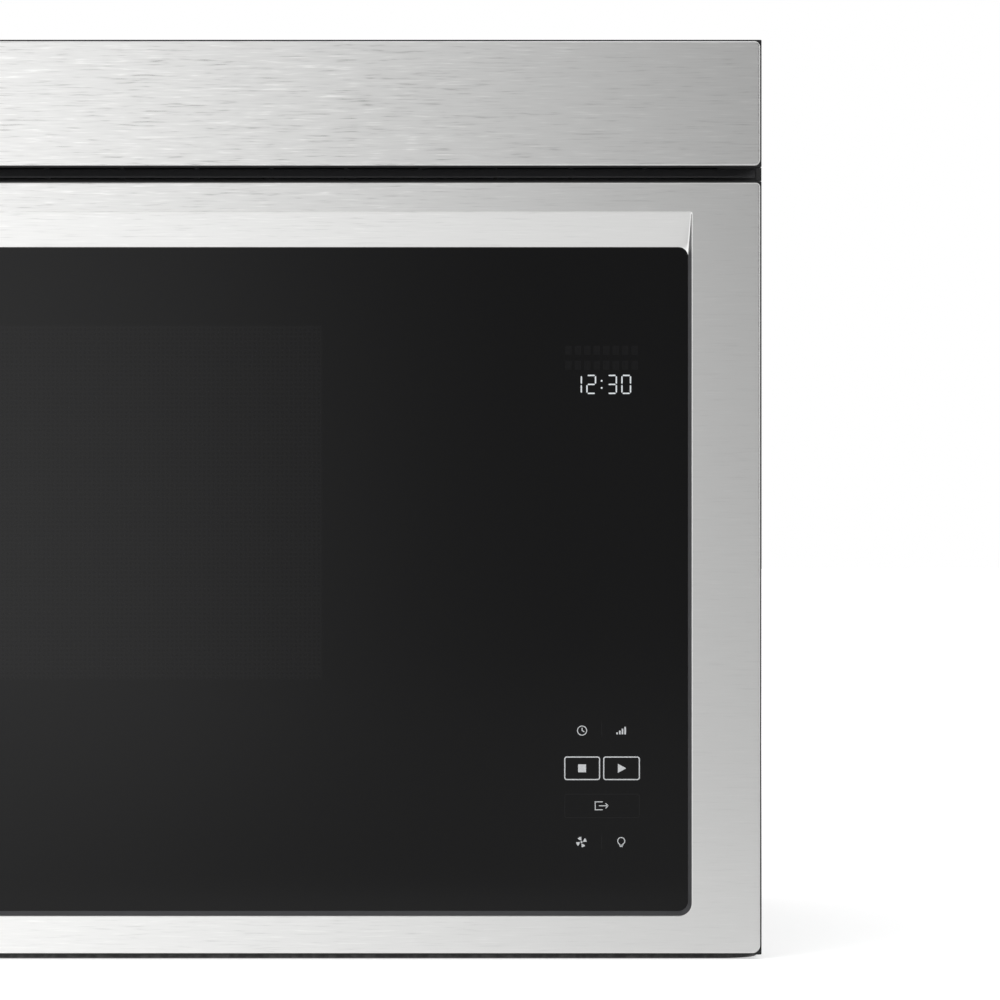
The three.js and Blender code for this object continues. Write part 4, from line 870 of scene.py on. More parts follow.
class Finishes:
    """All finishes of the microwave by name, made once."""

    def __init__(self, effects: Effects) -> None:
        """Makes every material.

        Args:
            effects: The shared effects.
        """
        kinds = [
            BrushedSteel("stainless_brushed", (0.738, 0.738, 0.73), 0.33, 1.0, streaks=0.3, ends=0.35),
            BrushedSteel("screw_steel", srgb(186, 188, 190), 0.3, 1.0, fineness=(700.0,) * 3),
            BrushedSteel(
                "can_aluminium", srgb(196, 198, 200), 0.34, 1.0, fineness=(900.0, 900.0, 40.0), streaks=0.12
            ),
            Painted("case_paint", srgb(118, 119, 120), 0.42, specular=0.4),
            Painted("base_paint", srgb(42, 42, 43), 0.48, specular=0.35, dust=0.12),
            Painted("black_paint", srgb(30, 30, 31), 0.42, specular=0.4, peel=0.001, dust=0.08, wear=0.2),
            # vent_slat_painted_light: the vent's plastic made lighter than the grille's, painted light
            # against the shade in the gap.
            Moulded("vent_slat_painted_light", srgb(79, 79, 81), 0.6, specular=0.2, rubbed=0.1),
            # recess_painted_shade: a dark grey that paints the shade on the recess walls.
            Moulded("recess_painted_shade", srgb(84, 84, 86), 0.5, specular=0.3, rubbed=0.1),
            ZincCoated("zinc_steel", srgb(172, 175, 177), 0.42, 0.92),
            Enamelled("cavity_paint", srgb(196, 194, 187), 0.28, coat=0.2),
            Moulded("black_plastic", srgb(25, 25, 26), 0.48, specular=0.35),
            Moulded("vent_plastic", srgb(58, 58, 59), 0.6, specular=0.2, rubbed=0.2),
            Moulded("white_plastic", srgb(226, 224, 216), 0.45, specular=0.4, rubbed=0.1),
            Moulded("red_plastic", srgb(170, 40, 34), 0.4, specular=0.4, rubbed=0.2),
            TintedGlass("dark_glass", srgb(9, 9, 10), 0.09, specular=0.195),
            ClearGlass("clear_glass", (0.93, 0.97, 0.96), 0.03),
            RibbedGlass("lens_glass", (0.94, 0.95, 0.93), 0.3),
            Finish("lamp_glass", srgb(246, 238, 214), 0.2, coat=0.4),
            LampFitting("lamp_fitting", srgb(158, 160, 162), 0.45),
            BrushedSteel("aluminium", srgb(200, 203, 206), 0.36, 1.0, fineness=(500.0,) * 3, streaks=0.14),
            Wound("iron_core", srgb(58, 58, 60), 0.55, 0.6, core_y=(-1000.0, 1000.0)),
            Layered("mica", srgb(158, 146, 118), 0.5),
            Moulded("rubber", srgb(24, 24, 25), 0.8, specular=0.25, rubbed=0.2),
            BoardFinish("circuit_board", srgb(22, 84, 50), 0.35, coat=0.3),
            Granular("carbon", srgb(36, 36, 38), 0.85),
            Perforated("window_screen_paint", srgb(18, 18, 19), 0.5, specular=0.3),
            Printed("white_ink", srgb(212, 214, 216), 0.45),
            Printed("faint_ink", srgb(26, 26, 27), 0.12, specular=0.195),
            Printed("lit_segment", srgb(206, 210, 213), 0.4, specular=0.2, glow=0.3),
            Printed("unlit_cell", srgb(23, 23, 24), 0.12, specular=0.195),
            Wound("transformer_iron", srgb(60, 60, 62), 0.55, 0.6),
        ]
        self.made = {kind.name: kind.material(effects) for kind in kinds}

    def __getitem__(self, name: str) -> bpy.types.Material:
        """The material of this name."""
        return self.made[name]


# ---- shapes


@dataclass(frozen=True)
class Outline:
    """A rectangle in X and Z with its own radius at the low and at the high corners."""

    x: Range
    z: Range
    low: float
    high: float

    def grown(self, margin: float) -> "Outline":
        """The same outline, larger all round by a margin.

        Args:
            margin: The margin; a negative one makes it smaller.

        Returns:
            The new outline.
        """
        least = 0.3
        return Outline(
            (self.x[0] - margin, self.x[1] + margin),
            (self.z[0] - margin, self.z[1] + margin),
            max(self.low + margin, least),
            max(self.high + margin, least),
        )

    def ring(self, y: float, steps: int = 10) -> list[Vector]:
        """Points round the outline at one depth.

        Args:
            y: The depth.
            steps: Edges in each rounded corner.

        Returns:
            The points.
        """
        corners = [
            (self.x[1] - self.low, self.z[0] + self.low, self.low),
            (self.x[1] - self.high, self.z[1] - self.high, self.high),
            (self.x[0] + self.high, self.z[1] - self.high, self.high),
            (self.x[0] + self.low, self.z[0] + self.low, self.low),
        ]
        points = []
        for corner, (centre_x, centre_z, radius) in enumerate(corners):
            for step in range(steps + 1):
                angle = (corner - 1 + step / steps) * math.pi / 2
                x, z = centre_x + radius * math.cos(angle), centre_z + radius * math.sin(angle)
                points.append(Vector((x, y, z)))
        return points


class Shape:
    """A mesh under construction, in millimetres."""

    def __init__(self) -> None:
        """Starts with an empty mesh."""
        self.mesh = bmesh.new()

    def ring(self, points: Iterable[Vector]) -> list[bmesh.types.BMVert]:
        """Adds points and returns their vertices."""
        return [self.mesh.verts.new(point) for point in points]

    def strip(
        self, first: Sequence[bmesh.types.BMVert], second: Sequence[bmesh.types.BMVert], closed: bool = True
    ) -> None:
        """Joins two rows of vertices with faces.

        Args:
            first: First row.
            second: Second row, of the same length.
            closed: Whether the rows are rings.
        """
        count = len(first)
        for i in range(count if closed else count - 1):
            j = (i + 1) % count
            self.mesh.faces.new((first[i], first[j], second[j], second[i]))

    def loft(self, rings: Sequence[Sequence[Vector]], joined: bool = False) -> None:
        """A skin over rings of points.

        Args:
            rings: The rings, each with the same number of points.
            joined: Whether the last ring joins the first; otherwise both ends are capped.
        """
        rows = [self.ring(ring) for ring in rings]
        for first, second in zip(rows, rows[1:]):
            self.strip(first, second)
        if joined:
            self.strip(rows[-1], rows[0])
        else:
            self.mesh.faces.new(list(reversed(rows[0])))
            self.mesh.faces.new(rows[-1])

    def hollow(self, outside: Sequence[Sequence[Vector]], inside: Sequence[Sequence[Vector]]) -> None:
        """A shell that is closed in front and open behind.

        Args:
            outside: Rings from the open edge to the outer face.
            inside: Rings from the inner face back to the open edge.
        """
        outer = [self.ring(ring) for ring in outside]
        inner = [self.ring(ring) for ring in inside]
        for rows in (outer, inner):
            for first, second in zip(rows, rows[1:]):
                self.strip(first, second)
        self.mesh.faces.new(outer[-1])
        self.mesh.faces.new(list(reversed(inner[0])))
        self.strip(inner[-1], outer[0])

    def box(self, x: Range, y: Range, z: Range) -> None:
        """A box over three ranges."""
        self.prism([(x[0], z[0]), (x[1], z[0]), (x[1], z[1]), (x[0], z[1])], y)

    def turned(self, profile: Sequence[tuple[float, float]], sides: int, place: Matrix) -> None:
        """A closed profile of radius and height turned about an axis.

        Args:
            profile: The points; the first and last one on the axis have radius 0.
            sides: Edges round the axis.
            place: Where the axis is; the profile turns about its Z.
        """
        rows = []
        for radius, height in profile:
            if radius == 0:
                rows.append([self.mesh.verts.new(place @ Vector((0, 0, height)))])
            else:
                angles = [2 * math.pi * i / sides for i in range(sides)]
                ring = [Vector((radius * math.cos(a), radius * math.sin(a), height)) for a in angles]
                rows.append(self.ring(place @ point for point in ring))
        for first, second in zip(rows, rows[1:]):
            if len(first) == 1 and len(second) > 1:
                for i in range(sides):
                    self.mesh.faces.new((first[0], second[i], second[(i + 1) % sides]))
            elif len(second) == 1 and len(first) > 1:
                for i in range(sides):
                    self.mesh.faces.new((second[0], first[(i + 1) % sides], first[i]))
            elif len(first) > 1:
                self.strip(first, second)

    def prism(self, outline: Sequence[tuple[float, float]], y: Range) -> None:
        """A flat shape in X and Z over a range of depth."""
        self.loft([[Vector((a, depth, b)) for a, b in outline] for depth in y])

    def line(
        self, points: Sequence[tuple[float, float]], width: float, y: Range, closed: bool = False
    ) -> None:
        """A line of even width in X and Z over a range of depth, with mitred corners.

        Args:
            points: The middle of the line.
            width: Its width.
            y: Its front and back.
            closed: Whether it ends where it starts.
        """
        middle = [Vector(point) for point in points]
        count = len(middle)
        left, right = [], []
        for i, point in enumerate(middle):
            before = middle[(i - 1) % count] if closed or i > 0 else point
            after = middle[(i + 1) % count] if closed or i + 1 < count else point
            incoming = (point - before) if point != before else (after - point)
            outgoing = (after - point) if after != point else incoming
            normal_in = Vector((-incoming.y, incoming.x)).normalized()
            normal_out = Vector((-outgoing.y, outgoing.x)).normalized()
            mitre = (normal_in + normal_out).normalized()
            reach = width / 2 / max(0.35, mitre.dot(normal_in))
            left.append(point + mitre * reach)
            right.append(point - mitre * reach)
        rows = [
            self.ring(Vector((p.x, depth, p.y)) for p in side)
            for side, depth in ((left, y[0]), (right, y[0]), (right, y[1]), (left, y[1]))
        ]
        for first, second in zip(rows, rows[1:] + rows[:1]):
            self.strip(first, second, closed)
        if not closed:
            self.mesh.faces.new([row[0] for row in rows])
            self.mesh.faces.new([row[-1] for row in reversed(rows)])


class Workshop:
    """Makes objects from shapes, dresses them and fixes them to the frame."""

    def __init__(self, finishes: Finishes) -> None:
        """Keeps the finishes.

        Args:
            finishes: All materials.
        """
        self.finishes = finishes

    def make(
        self, name: str, shape: Shape, body: str, slot: str, finish: str, crease: float = 35.0
    ) -> bpy.types.Object:
        """Turns a shape into an object that rides on a body.

        Args:
            name: The object's name.
            shape: The shape, in millimetres.
            body: The body it moves with.
            slot: The record's material slot; not used.
            finish: The finish's name.
            crease: Angle in degrees above which an edge stays sharp.

        Returns:
            The object.
        """
        bmesh.ops.recalc_face_normals(shape.mesh, faces=shape.mesh.faces)
        bmesh.ops.scale(shape.mesh, vec=(MM, MM, MM), verts=shape.mesh.verts)
        mesh = bpy.data.meshes.new(name)
        shape.mesh.to_mesh(mesh)
        shape.mesh.free()
        mesh.materials.append(self.finishes[finish])
        mesh.shade_smooth()
        mesh.set_sharp_from_angle(angle=math.radians(crease))
        made = bpy.data.objects.new(name, mesh)
        bpy.context.scene.collection.objects.link(made)
        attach(made, body)
        log.info("piece %s on %s in %s, %d faces", name, body, finish, len(mesh.polygons))
        return made

    def soften(self, made: bpy.types.Object, width: float) -> None:
        """Rounds the edges of an object and evens its shading.

        Args:
            made: The object.
            width: Width of the rounding in millimetres.
        """
        weld = made.modifiers.new("joined_corners", "WELD")
        weld.merge_threshold = 0.002 * MM
        planar = made.modifiers.new("whole_faces", "DECIMATE")
        planar.decimate_type = "DISSOLVE"
        planar.angle_limit = math.radians(0.3)
        bevel = made.modifiers.new("edges", "BEVEL")
        bevel.width = width * MM
        bevel.segments = 2
        bevel.limit_method = "ANGLE"
        bevel.angle_limit = math.radians(35)
        bevel.harden_normals = False
        made.modifiers.new("even_shading", "WEIGHTED_NORMAL")

    def dress(self, node: str, finish: str, round_edges: float = 0.0) -> bpy.types.Object:
        """Gives a node of the frame its finish.

        Args:
            node: The node's name.
            finish: The finish's name.
            round_edges: Width of its edge rounding in millimetres; 0 leaves it sharp.

        Returns:
            The node's object.
        """
        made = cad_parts[node]
        for each in made.material_slots:
            each.material = self.finishes[finish]
        if round_edges > 0:
            self.soften(made, round_edges)
        log.info("node %s in %s", node, finish)
        return made


class Assembly:
    """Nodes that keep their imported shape, each with a finish and a width of edge rounding."""

    edges: dict[str, tuple[str, float]] = {}

    def __init__(self, shop: Workshop) -> None:
        """Dresses the nodes.

        Args:
            shop: Where objects are made and dressed.
        """
        self.shop = shop
        for node, (finish, edge) in self.edges.items():
            shop.dress(node, finish, edge)


# ---- front


@dataclass(frozen=True)
class SkinSizes:
    """Sizes of the stainless skins, of the black edge round them and of the dark sheet that paints the shade
    on the recess walls.

    The sheet's two insets, at the mouth and at the floor, are those of its back and of its face.
    """

    face: float = -203.0
    back: float = -198.0
    sheet: float = 1.2
    bend: float = 0.9
    mouth_bend: float = 0.4
    bend_steps: int = 7
    edge_gap: float = 0.04
    edge_reach: float = 0.6
    edge_corner: float = 0.5
    edge_step: float = 0.2
    shade_mouth: Range = (0.08, 0.2)
    shade_floor: Range = (0.03, 0.15)
    shade_start: float = 0.6
    shade_end: float = 0.05


class StainlessSkins:
    """The pressed stainless skins of the door and of the fascia."""

    sizes = SkinSizes()
    fascia = Outline((-378.8, 378.8), (379.5, 439.3), 2.8, 2.8)
    door = Outline((-378.8, 378.8), (2.6, 371.6), 3.8, 2.2)
    mouth = Outline((-345.9, 345.9), (20.6, 357.4), 6.0, 0.8)
    floor = Outline((-344.6, 344.6), (22.2, 341.0), 4.8, 4.8)
    floor_depth: float = -195.0
    crease = Outline((-344.7, 344.7), (22.1, 342.1), 4.8, 0.8)
    crease_depth: float = -195.5

    def __init__(self, shop: Workshop) -> None:
        """Builds and dresses both skins.

        Args:
            shop: Where objects are made.
        """
        self.shop = shop
        self.build_fascia()
        self.build_door()
        self.build_edge("fascia_edge", self.fascia, "cabinet")
        self.build_edge("door_edge", self.door, "door")
        self.build_recess_shade()

    def build_edge(self, name: str, outline: Outline, body: str) -> None:
        """The black edge of the sheet behind a skin, seen all round it.

        Args:
            name: The edge's name.
            outline: The skin's outline.
            body: The body it moves with.
        """
        size = self.sizes
        shape = Shape()
        inner, edge = outline.grown(size.edge_gap), outline.grown(size.edge_reach)
        outer = Outline(edge.x, edge.z, size.edge_corner, size.edge_corner)
        front, back = size.face + size.bend, size.back - size.edge_step
        rings = [inner.ring(back), outer.ring(back), outer.ring(front), inner.ring(front)]
        shape.loft(rings, joined=True)
        self.shop.make(name, shape, body, "stainless", "black_plastic")

    def build_recess_shade(self) -> None:
        """A dark sheet on the low and side walls of the recess: painted shade where these walls lie in
        shadow.
        """
        size = self.sizes
        shape = Shape()
        corner = len(self.mouth.ring(0.0)) // 4
        path = [*range(corner, -1, -1), *range(4 * corner - 1, 3 * corner - 2, -1)]
        front, back = size.face + size.shade_start, self.floor_depth - size.shade_end
        sections = [
            (self.mouth, front, size.shade_mouth[0]),
            (self.floor, back, size.shade_floor[0]),
            (self.floor, back, size.shade_floor[1]),
            (self.mouth, front, size.shade_mouth[1]),
        ]
        rows = []
        for outline, y, inset in sections:
            points = outline.grown(-inset).ring(y)
            rows.append(shape.ring(points[i] for i in path))
        for first, second in zip(rows, rows[1:] + rows[:1]):
            shape.strip(first, second, closed=False)
        shape.mesh.faces.new([row[0] for row in rows])
        shape.mesh.faces.new([row[-1] for row in reversed(rows)])
        # The sheet's dark colour is painted shade on the recess walls.
        self.shop.make("recess_painted_shade", shape, "door", "stainless", "recess_painted_shade")

    def bent(self, outline: Outline, outward: bool, bend: float = sizes.bend) -> list[list[Vector]]:
        """Rings over a bent edge, from the folded side to the face.

        Args:
            outline: The outer edge of the fold.
            outward: True where the face lies outside the outline, as round the recess.
            bend: Radius of the bend.

        Returns:
            The rings.
        """
        size = self.sizes
        rings = []
        for step in range(size.bend_steps + 1):
            angle = (1 - step / size.bend_steps) * math.pi / 2
            inset = bend * (1 - math.sin(angle))
            y = size.face + bend * (1 - math.cos(angle))
            rings.append(outline.grown(inset if outward else -inset).ring(y))
        return rings

    def build_fascia(self) -> None:
        """The plain skin above the door."""
        size = self.sizes
        shape = Shape()
        inner = self.fascia.grown(-size.sheet)
        outside = [self.fascia.ring(size.back), *self.bent(self.fascia, outward=False)]
        shape.hollow(outside, [inner.ring(size.face + size.sheet), inner.ring(size.back)])
        made = self.shop.make("fascia_skin", shape, "cabinet", "stainless", "stainless_brushed")
        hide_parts("top_fascia")
        self.even(made)

    @staticmethod
    def even(made: bpy.types.Object) -> None:
        """Keeps the flat faces flat in shading beside the bends."""
        made.modifiers.new("even_shading", "WEIGHTED_NORMAL").keep_sharp = True

    def build_door(self) -> None:
        """The skin with the recess that the glass sits in."""
        size = self.sizes
        shape = Shape()
        outer = self.bent(self.door, outward=False)
        flare = list(reversed(self.bent(self.mouth, outward=True, bend=size.mouth_bend)))
        inner_mouth, inner_door = self.mouth.grown(size.sheet), self.door.grown(-size.sheet)
        rings = [
            self.door.ring(size.back),
            *outer,
            *flare,
            self.crease.ring(self.crease_depth),
            self.floor.ring(self.floor_depth),
            self.floor.grown(size.sheet).ring(self.floor_depth),
            inner_mouth.ring(size.face + size.sheet),
            inner_door.ring(size.face + size.sheet),
            inner_door.ring(size.back),
        ]
        shape.loft(rings, joined=True)
        made = self.shop.make("door_skin", shape, "door", "stainless", "stainless_brushed")
        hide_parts("door_outer_frame")
        self.even(made)


@dataclass(frozen=True)
class ScrewSizes:
    """Sizes of a pan-head screw with a cross recess."""

    radius: float = 3.6
    height: float = 1.5
    arm: float = 1.9
    half_slot: float = 0.45
    depth: float = 0.9


class Fasteners:
    """Screw heads on the sheet metal and plastic."""

    sizes = ScrewSizes()

    def head(self, shape: Shape, place: Matrix) -> None:
        """Adds one head.

        Args:
            shape: The shape to add to.
            place: Where it bears, with its axis along Z.
        """
        size = self.sizes
        count = 24

        def circle(radius: float, height: float) -> list[Vector]:
            """Points of a circle, as many as the cross has.

            Args:
                radius: Its radius.
                height: Its height over the bearing face.

            Returns:
                The points.
            """
            angles = [math.radians(360 / count * (i - 1)) for i in range(count)]
            return [place @ Vector((radius * math.cos(a), radius * math.sin(a), height)) for a in angles]

        def cross(height: float) -> list[Vector]:
            """Points of the cross recess.

            Args:
                height: Their height over the bearing face.

            Returns:
                The points.
            """
            long, half = size.arm, size.half_slot
            middle = (long + half) / 2
            quarter = [(long, -half), (long, 0), (long, half), (middle, half), (half, half), (half, middle)]
            points = []
            for turn in range(4):
                spin = Matrix.Rotation(turn * math.pi / 2, 3, "Z")
                points += [place @ (spin @ Vector((x, y, height))) for x, y in quarter]
            return points

        top = size.height
        rings = [
            circle(size.radius, 0.0),
            circle(size.radius, 0.35 * top),
            circle(0.93 * size.radius, 0.7 * top),
            circle(0.78 * size.radius, 0.92 * top),
            circle(0.6 * size.radius, top),
            cross(top),
            cross(top - size.depth),
        ]
        shape.loft(rings)

    def row(self, shop: Workshop, name: str, body: str, places: Sequence[Matrix]) -> None:
        """Makes several heads as one piece.

        Args:
            shop: Where objects are made.
            name: The piece's name.
            body: The body they ride on.
            places: Where each one bears.
        """
        shape = Shape()
        for place in places:
            self.head(shape, place)
        shop.make(name, shape, body, "zinc_steel", "screw_steel")


def facing(x: float, y: float, z: float) -> Matrix:
    """A place in millimetres with its Z toward the front, which is -Y of the part.

    Args:
        x: Position in X.
        y: Position in Y.
        z: Position in Z.

    Returns:
        The place.
    """
    turn = Vector((0, -1, 0)).to_track_quat("Z", "Y").to_matrix().to_4x4()
    return Matrix.Translation((x, y, z)) @ turn


class KeyIcon(Enum):
    """Pictures printed on the touch keys."""

    CLOCK = "clock"
    BARS = "power_bars"
    STOP = "stop_square"
    START = "start_triangle"
    OPEN = "open_door"
    FAN = "fan_blades"
    LAMP = "lamp_bulb"


@dataclass(frozen=True)
class PrintSizes:
    """Where the prints lie on the door glass, and the sizes of the display."""

    front: float = -194.735
    back: float = -194.69
    key_line: float = 0.55
    icon_line: float = 0.42
    faint_line: float = 0.3
    corner: float = 1.0
    digit_centres: tuple[float, ...] = (291.2, 298.0, 308.0, 314.8)
    digit_middle: float = 275.1
    digit_size: tuple[float, float] = (4.9, 9.4)
    digit_line: float = 0.66
    digit_inset: float = 0.4
    segment_gap: float = 0.3
    segment_point: float = 1.6
    colon_x: float = 303.0
    colon_half: float = 1.7
    colon_dot: float = 0.45
    cell_rows: Range = (291.6, 284.4)
    cell_x: Range = (284.86, 321.2)
    cells: int = 8
    cell_dots: tuple[int, int] = (5, 7)
    dot: float = 0.46
    dot_step: float = 0.62

    @property
    def layer(self) -> Range:
        """Front and back of a print."""
        return self.front, self.back


class ControlPrint:
    """The touch keys, their pictures and the display, all seen through or printed on the door glass."""

    sizes = PrintSizes()
    keys = [((285.3, 302.0), (85.4, 96.2)), ((304.0, 321.1), (85.4, 96.2))]
    open_key = ((285.3, 321.1), (67.1, 78.4))
    pictures = {
        KeyIcon.CLOCK: (293.6, 108.9),
        KeyIcon.BARS: (312.4, 108.9),
        KeyIcon.STOP: (293.6, 90.8),
        KeyIcon.START: (312.5, 90.8),
        KeyIcon.OPEN: (303.1, 72.8),
        KeyIcon.FAN: (293.3, 55.4),
        KeyIcon.LAMP: (312.4, 55.4),
    }
    dividers = [(303.0, (106.2, 113.2)), (303.0, (52.0, 58.8))]
    clock_text = "1230"
    segments = {"0": "abcdef", "1": "bc", "2": "abged", "3": "abgcd"}

    def __init__(self, shop: Workshop) -> None:
        """Makes every print.

        Args:
            shop: Where objects are made.
        """
        self.shop = shop
        self.build_keys()
        self.build_pictures()
        self.build_clock()
        self.build_cells()

    def finish_print(self, name: str, shape: Shape, ink: str) -> None:
        """Turns a print into an object on the glass."""
        self.shop.make(name, shape, "door", "dark_glass", ink)

    def frame_points(self, x: Range, z: Range) -> list[tuple[float, float]]:
        """Points round a key with rounded corners.

        Args:
            x: The key's sides.
            z: The key's foot and head.

        Returns:
            The points in X and Z.
        """
        outline = Outline(x, z, self.sizes.corner, self.sizes.corner)
        return [(point.x, point.z) for point in outline.ring(0.0, 5)]

    def build_keys(self) -> None:
        """Outlines of the keys and the lines between the others."""
        size = self.sizes
        bright = Shape()
        for x, z in self.keys:
            bright.line(self.frame_points(x, z), size.key_line, size.layer, closed=True)
        self.finish_print("key_outlines", bright, "white_ink")
        faint = Shape()
        faint.line(self.frame_points(*self.open_key), size.faint_line, size.layer, closed=True)
        for x, (low, high) in self.dividers:
            faint.line([(x, low), (x, high)], size.faint_line, size.layer)
        self.finish_print("open_key_outline", faint, "faint_ink")

    def arc(
        self, centre: tuple[float, float], radius: float, start: float, end: float, steps: int = 20
    ) -> list[tuple[float, float]]:
        """Points along an arc in X and Z.

        Args:
            centre: The centre.
            radius: The radius.
            start: First angle in degrees.
            end: Last angle in degrees.
            steps: Number of chords.

        Returns:
            The points.
        """
        angles = [math.radians(start + (end - start) * i / steps) for i in range(steps + 1)]
        return [(centre[0] + radius * math.cos(a), centre[1] + radius * math.sin(a)) for a in angles]

    def build_pictures(self) -> None:
        """All pictures as one print."""
        shape = Shape()
        draw = {
            KeyIcon.CLOCK: self.clock_face,
            KeyIcon.BARS: self.power_bars,
            KeyIcon.STOP: self.stop_square,
            KeyIcon.START: self.start_triangle,
            KeyIcon.OPEN: self.open_door,
            KeyIcon.FAN: self.fan_blades,
            KeyIcon.LAMP: self.lamp_bulb,
        }
        for icon, (x, z) in self.pictures.items():
            draw[icon](shape, x, z)
        self.finish_print("key_pictures", shape, "white_ink")

    def clock_face(self, shape: Shape, x: float, z: float) -> None:
        """A clock face with two hands.

        Args:
            shape: The shape to add to.
            x: Its middle in X.
            z: Its middle in Z.
        """
        size = self.sizes
        shape.line(self.arc((x, z), 2.2, 0, 342, 19), size.icon_line, size.layer, closed=True)
        shape.line([(x, z + 1.4), (x, z), (x + 1.1, z - 0.6)], size.icon_line, size.layer)

    def power_bars(self, shape: Shape, x: float, z: float) -> None:
        """Four rising bars.

        Args:
            shape: The shape to add to.
            x: Its middle in X.
            z: Its middle in Z.
        """
        for i in range(4):
            left = x - 2.4 + 1.3 * i
            foot, top = z - 1.8, z - 1.8 + 0.9 * (i + 1)
            shape.box((left, left + 0.8), self.sizes.layer, (foot, top))

    def stop_square(self, shape: Shape, x: float, z: float) -> None:
        """A filled square.

        Args:
            shape: The shape to add to.
            x: Its middle in X.
            z: Its middle in Z.
        """
        half = 1.9
        shape.box((x - half, x + half), self.sizes.layer, (z - half, z + half))

    def start_triangle(self, shape: Shape, x: float, z: float) -> None:
        """A filled triangle that points to the right.

        Args:
            shape: The shape to add to.
            x: Its middle in X.
            z: Its middle in Z.
        """
        shape.prism([(x - 1.7, z - 2.2), (x + 2.3, z), (x - 1.7, z + 2.2)], self.sizes.layer)

    def open_door(self, shape: Shape, x: float, z: float) -> None:
        """A box with an arrow that leaves it.

        Args:
            shape: The shape to add to.
            x: Its middle in X.
            z: Its middle in Z.
        """
        size = self.sizes
        box = [(x + 0.4, z - 1.9), (x - 3.2, z - 1.9), (x - 3.2, z + 1.9), (x + 0.4, z + 1.9)]
        shape.line(box, size.icon_line, size.layer)
        shape.line([(x - 1.4, z), (x + 3.0, z)], size.icon_line, size.layer)
        shape.line([(x + 1.8, z + 1.2), (x + 3.0, z), (x + 1.8, z - 1.2)], size.icon_line, size.layer)

    def fan_blades(self, shape: Shape, x: float, z: float) -> None:
        """Four curved blades round a hub.

        Args:
            shape: The shape to add to.
            x: Its middle in X.
            z: Its middle in Z.
        """
        size = self.sizes
        for turn in range(4):
            base = 90.0 * turn
            start = self.arc((x, z), 0.7, base, base, 1)[:1]
            tip = self.arc((x, z), 2.5, base + 2, base + 48, 6)
            back = self.arc((x, z), 1.5, base + 44, base + 44, 1)[:1]
            shape.prism([*start, *tip, *back], size.layer)
        shape.prism(self.arc((x, z), 0.5, 0, 330, 11), size.layer)

    def lamp_bulb(self, shape: Shape, x: float, z: float) -> None:
        """A bulb with its cap.

        Args:
            shape: The shape to add to.
            x: Its middle in X.
            z: Its middle in Z.
        """
        size = self.sizes
        bulb = self.arc((x, z + 0.5), 1.7, -60, 240, 18)
        shape.line([(x + 0.75, z - 1.5), *bulb, (x - 0.75, z - 1.5)], size.icon_line, size.layer, closed=True)
        shape.line([(x - 0.7, z - 2.15), (x + 0.7, z - 2.15)], size.icon_line, size.layer)

    def bar(self, shape: Shape, first: tuple[float, float], last: tuple[float, float]) -> None:
        """One lit segment with pointed ends.

        Args:
            shape: The shape to add to.
            first: One end in X and Z.
            last: The other end.
        """
        size = self.sizes
        half = size.digit_line / 2
        start, end = Vector(first), Vector(last)
        along = (end - start).normalized()
        side = Vector((-along.y, along.x)) * half
        inner, outer = along * half * size.segment_point, along * size.segment_gap
        lower = [start + outer, start + inner - side, end - inner - side]
        upper = [end - outer, end - inner + side, start + inner + side]
        shape.prism([(p.x, p.y) for p in (*lower, *upper)], size.layer)

    def build_clock(self) -> None:
        """The time of day in seven-segment digits."""
        size = self.sizes
        shape = Shape()
        wide, high = size.digit_size
        middle, inset = size.digit_middle, size.digit_inset
        for digit, centre in zip(self.clock_text, size.digit_centres):
            left, right = centre - wide / 2 + inset, centre + wide / 2 - inset
            low, top = middle - high / 2 + inset, middle + high / 2 - inset
            ends = {
                "a": ((left, top), (right, top)),
                "b": ((right, top), (right, middle)),
                "c": ((right, middle), (right, low)),
                "d": ((left, low), (right, low)),
                "e": ((left, middle), (left, low)),
                "f": ((left, top), (left, middle)),
                "g": ((left, middle), (right, middle)),
            }
            for segment in self.segments[digit]:
                self.bar(shape, *ends[segment])
        for offset in (-size.colon_half, size.colon_half):
            centre = (size.colon_x, middle + offset)
            shape.prism(self.arc(centre, size.colon_dot, 0, 330, 11), size.layer)
        self.finish_print("clock_digits", shape, "lit_segment")

    def build_cells(self) -> None:
        """Two rows of unlit dot cells above the clock."""
        size = self.sizes
        shape = Shape()
        across, upward = size.cell_dots
        pitch = (size.cell_x[1] - size.cell_x[0]) / size.cells
        dot, step = size.dot, size.dot_step
        for middle in size.cell_rows:
            for cell in range(size.cells):
                left = size.cell_x[0] + pitch * (cell + 0.5) - step * across / 2
                for i, j in itertools.product(range(across), range(upward)):
                    x, z = left + step * i, middle + step * (j - upward / 2)
                    shape.box((x, x + dot), size.layer, (z, z + dot))
        self.finish_print("display_cells", shape, "unlit_cell")


@dataclass(frozen=True)
class CaseSizes:
    """Where the front plate's screws and the vent's slat and closed ends lie."""

    plate_face: float = -176.9964
    side_screws: tuple[Range, ...] = ((-358.5, 24.0), (-358.5, 40.0), (-358.5, 334.0), (-358.5, 350.0))
    bay_screws: tuple[Range, ...] = ((246.5, 136.0), (246.5, 228.0), (246.5, 316.0))
    edge_screws_x: tuple[float, ...] = (-300.0, 0.0, 300.0)
    edge_screws_z: Range = (14.0, 364.0)
    slat_half: float = 376.8
    slat_depth: Range = (-190.4, -186.3)
    slat_rise: Range = (374.5, 378.9)
    slat_thick: float = 0.8
    end_x: Range = (376.9, 379.4)
    end_depth: Range = (-201.4, -197.9)
    end_rise: Range = (372.5, 378.7)


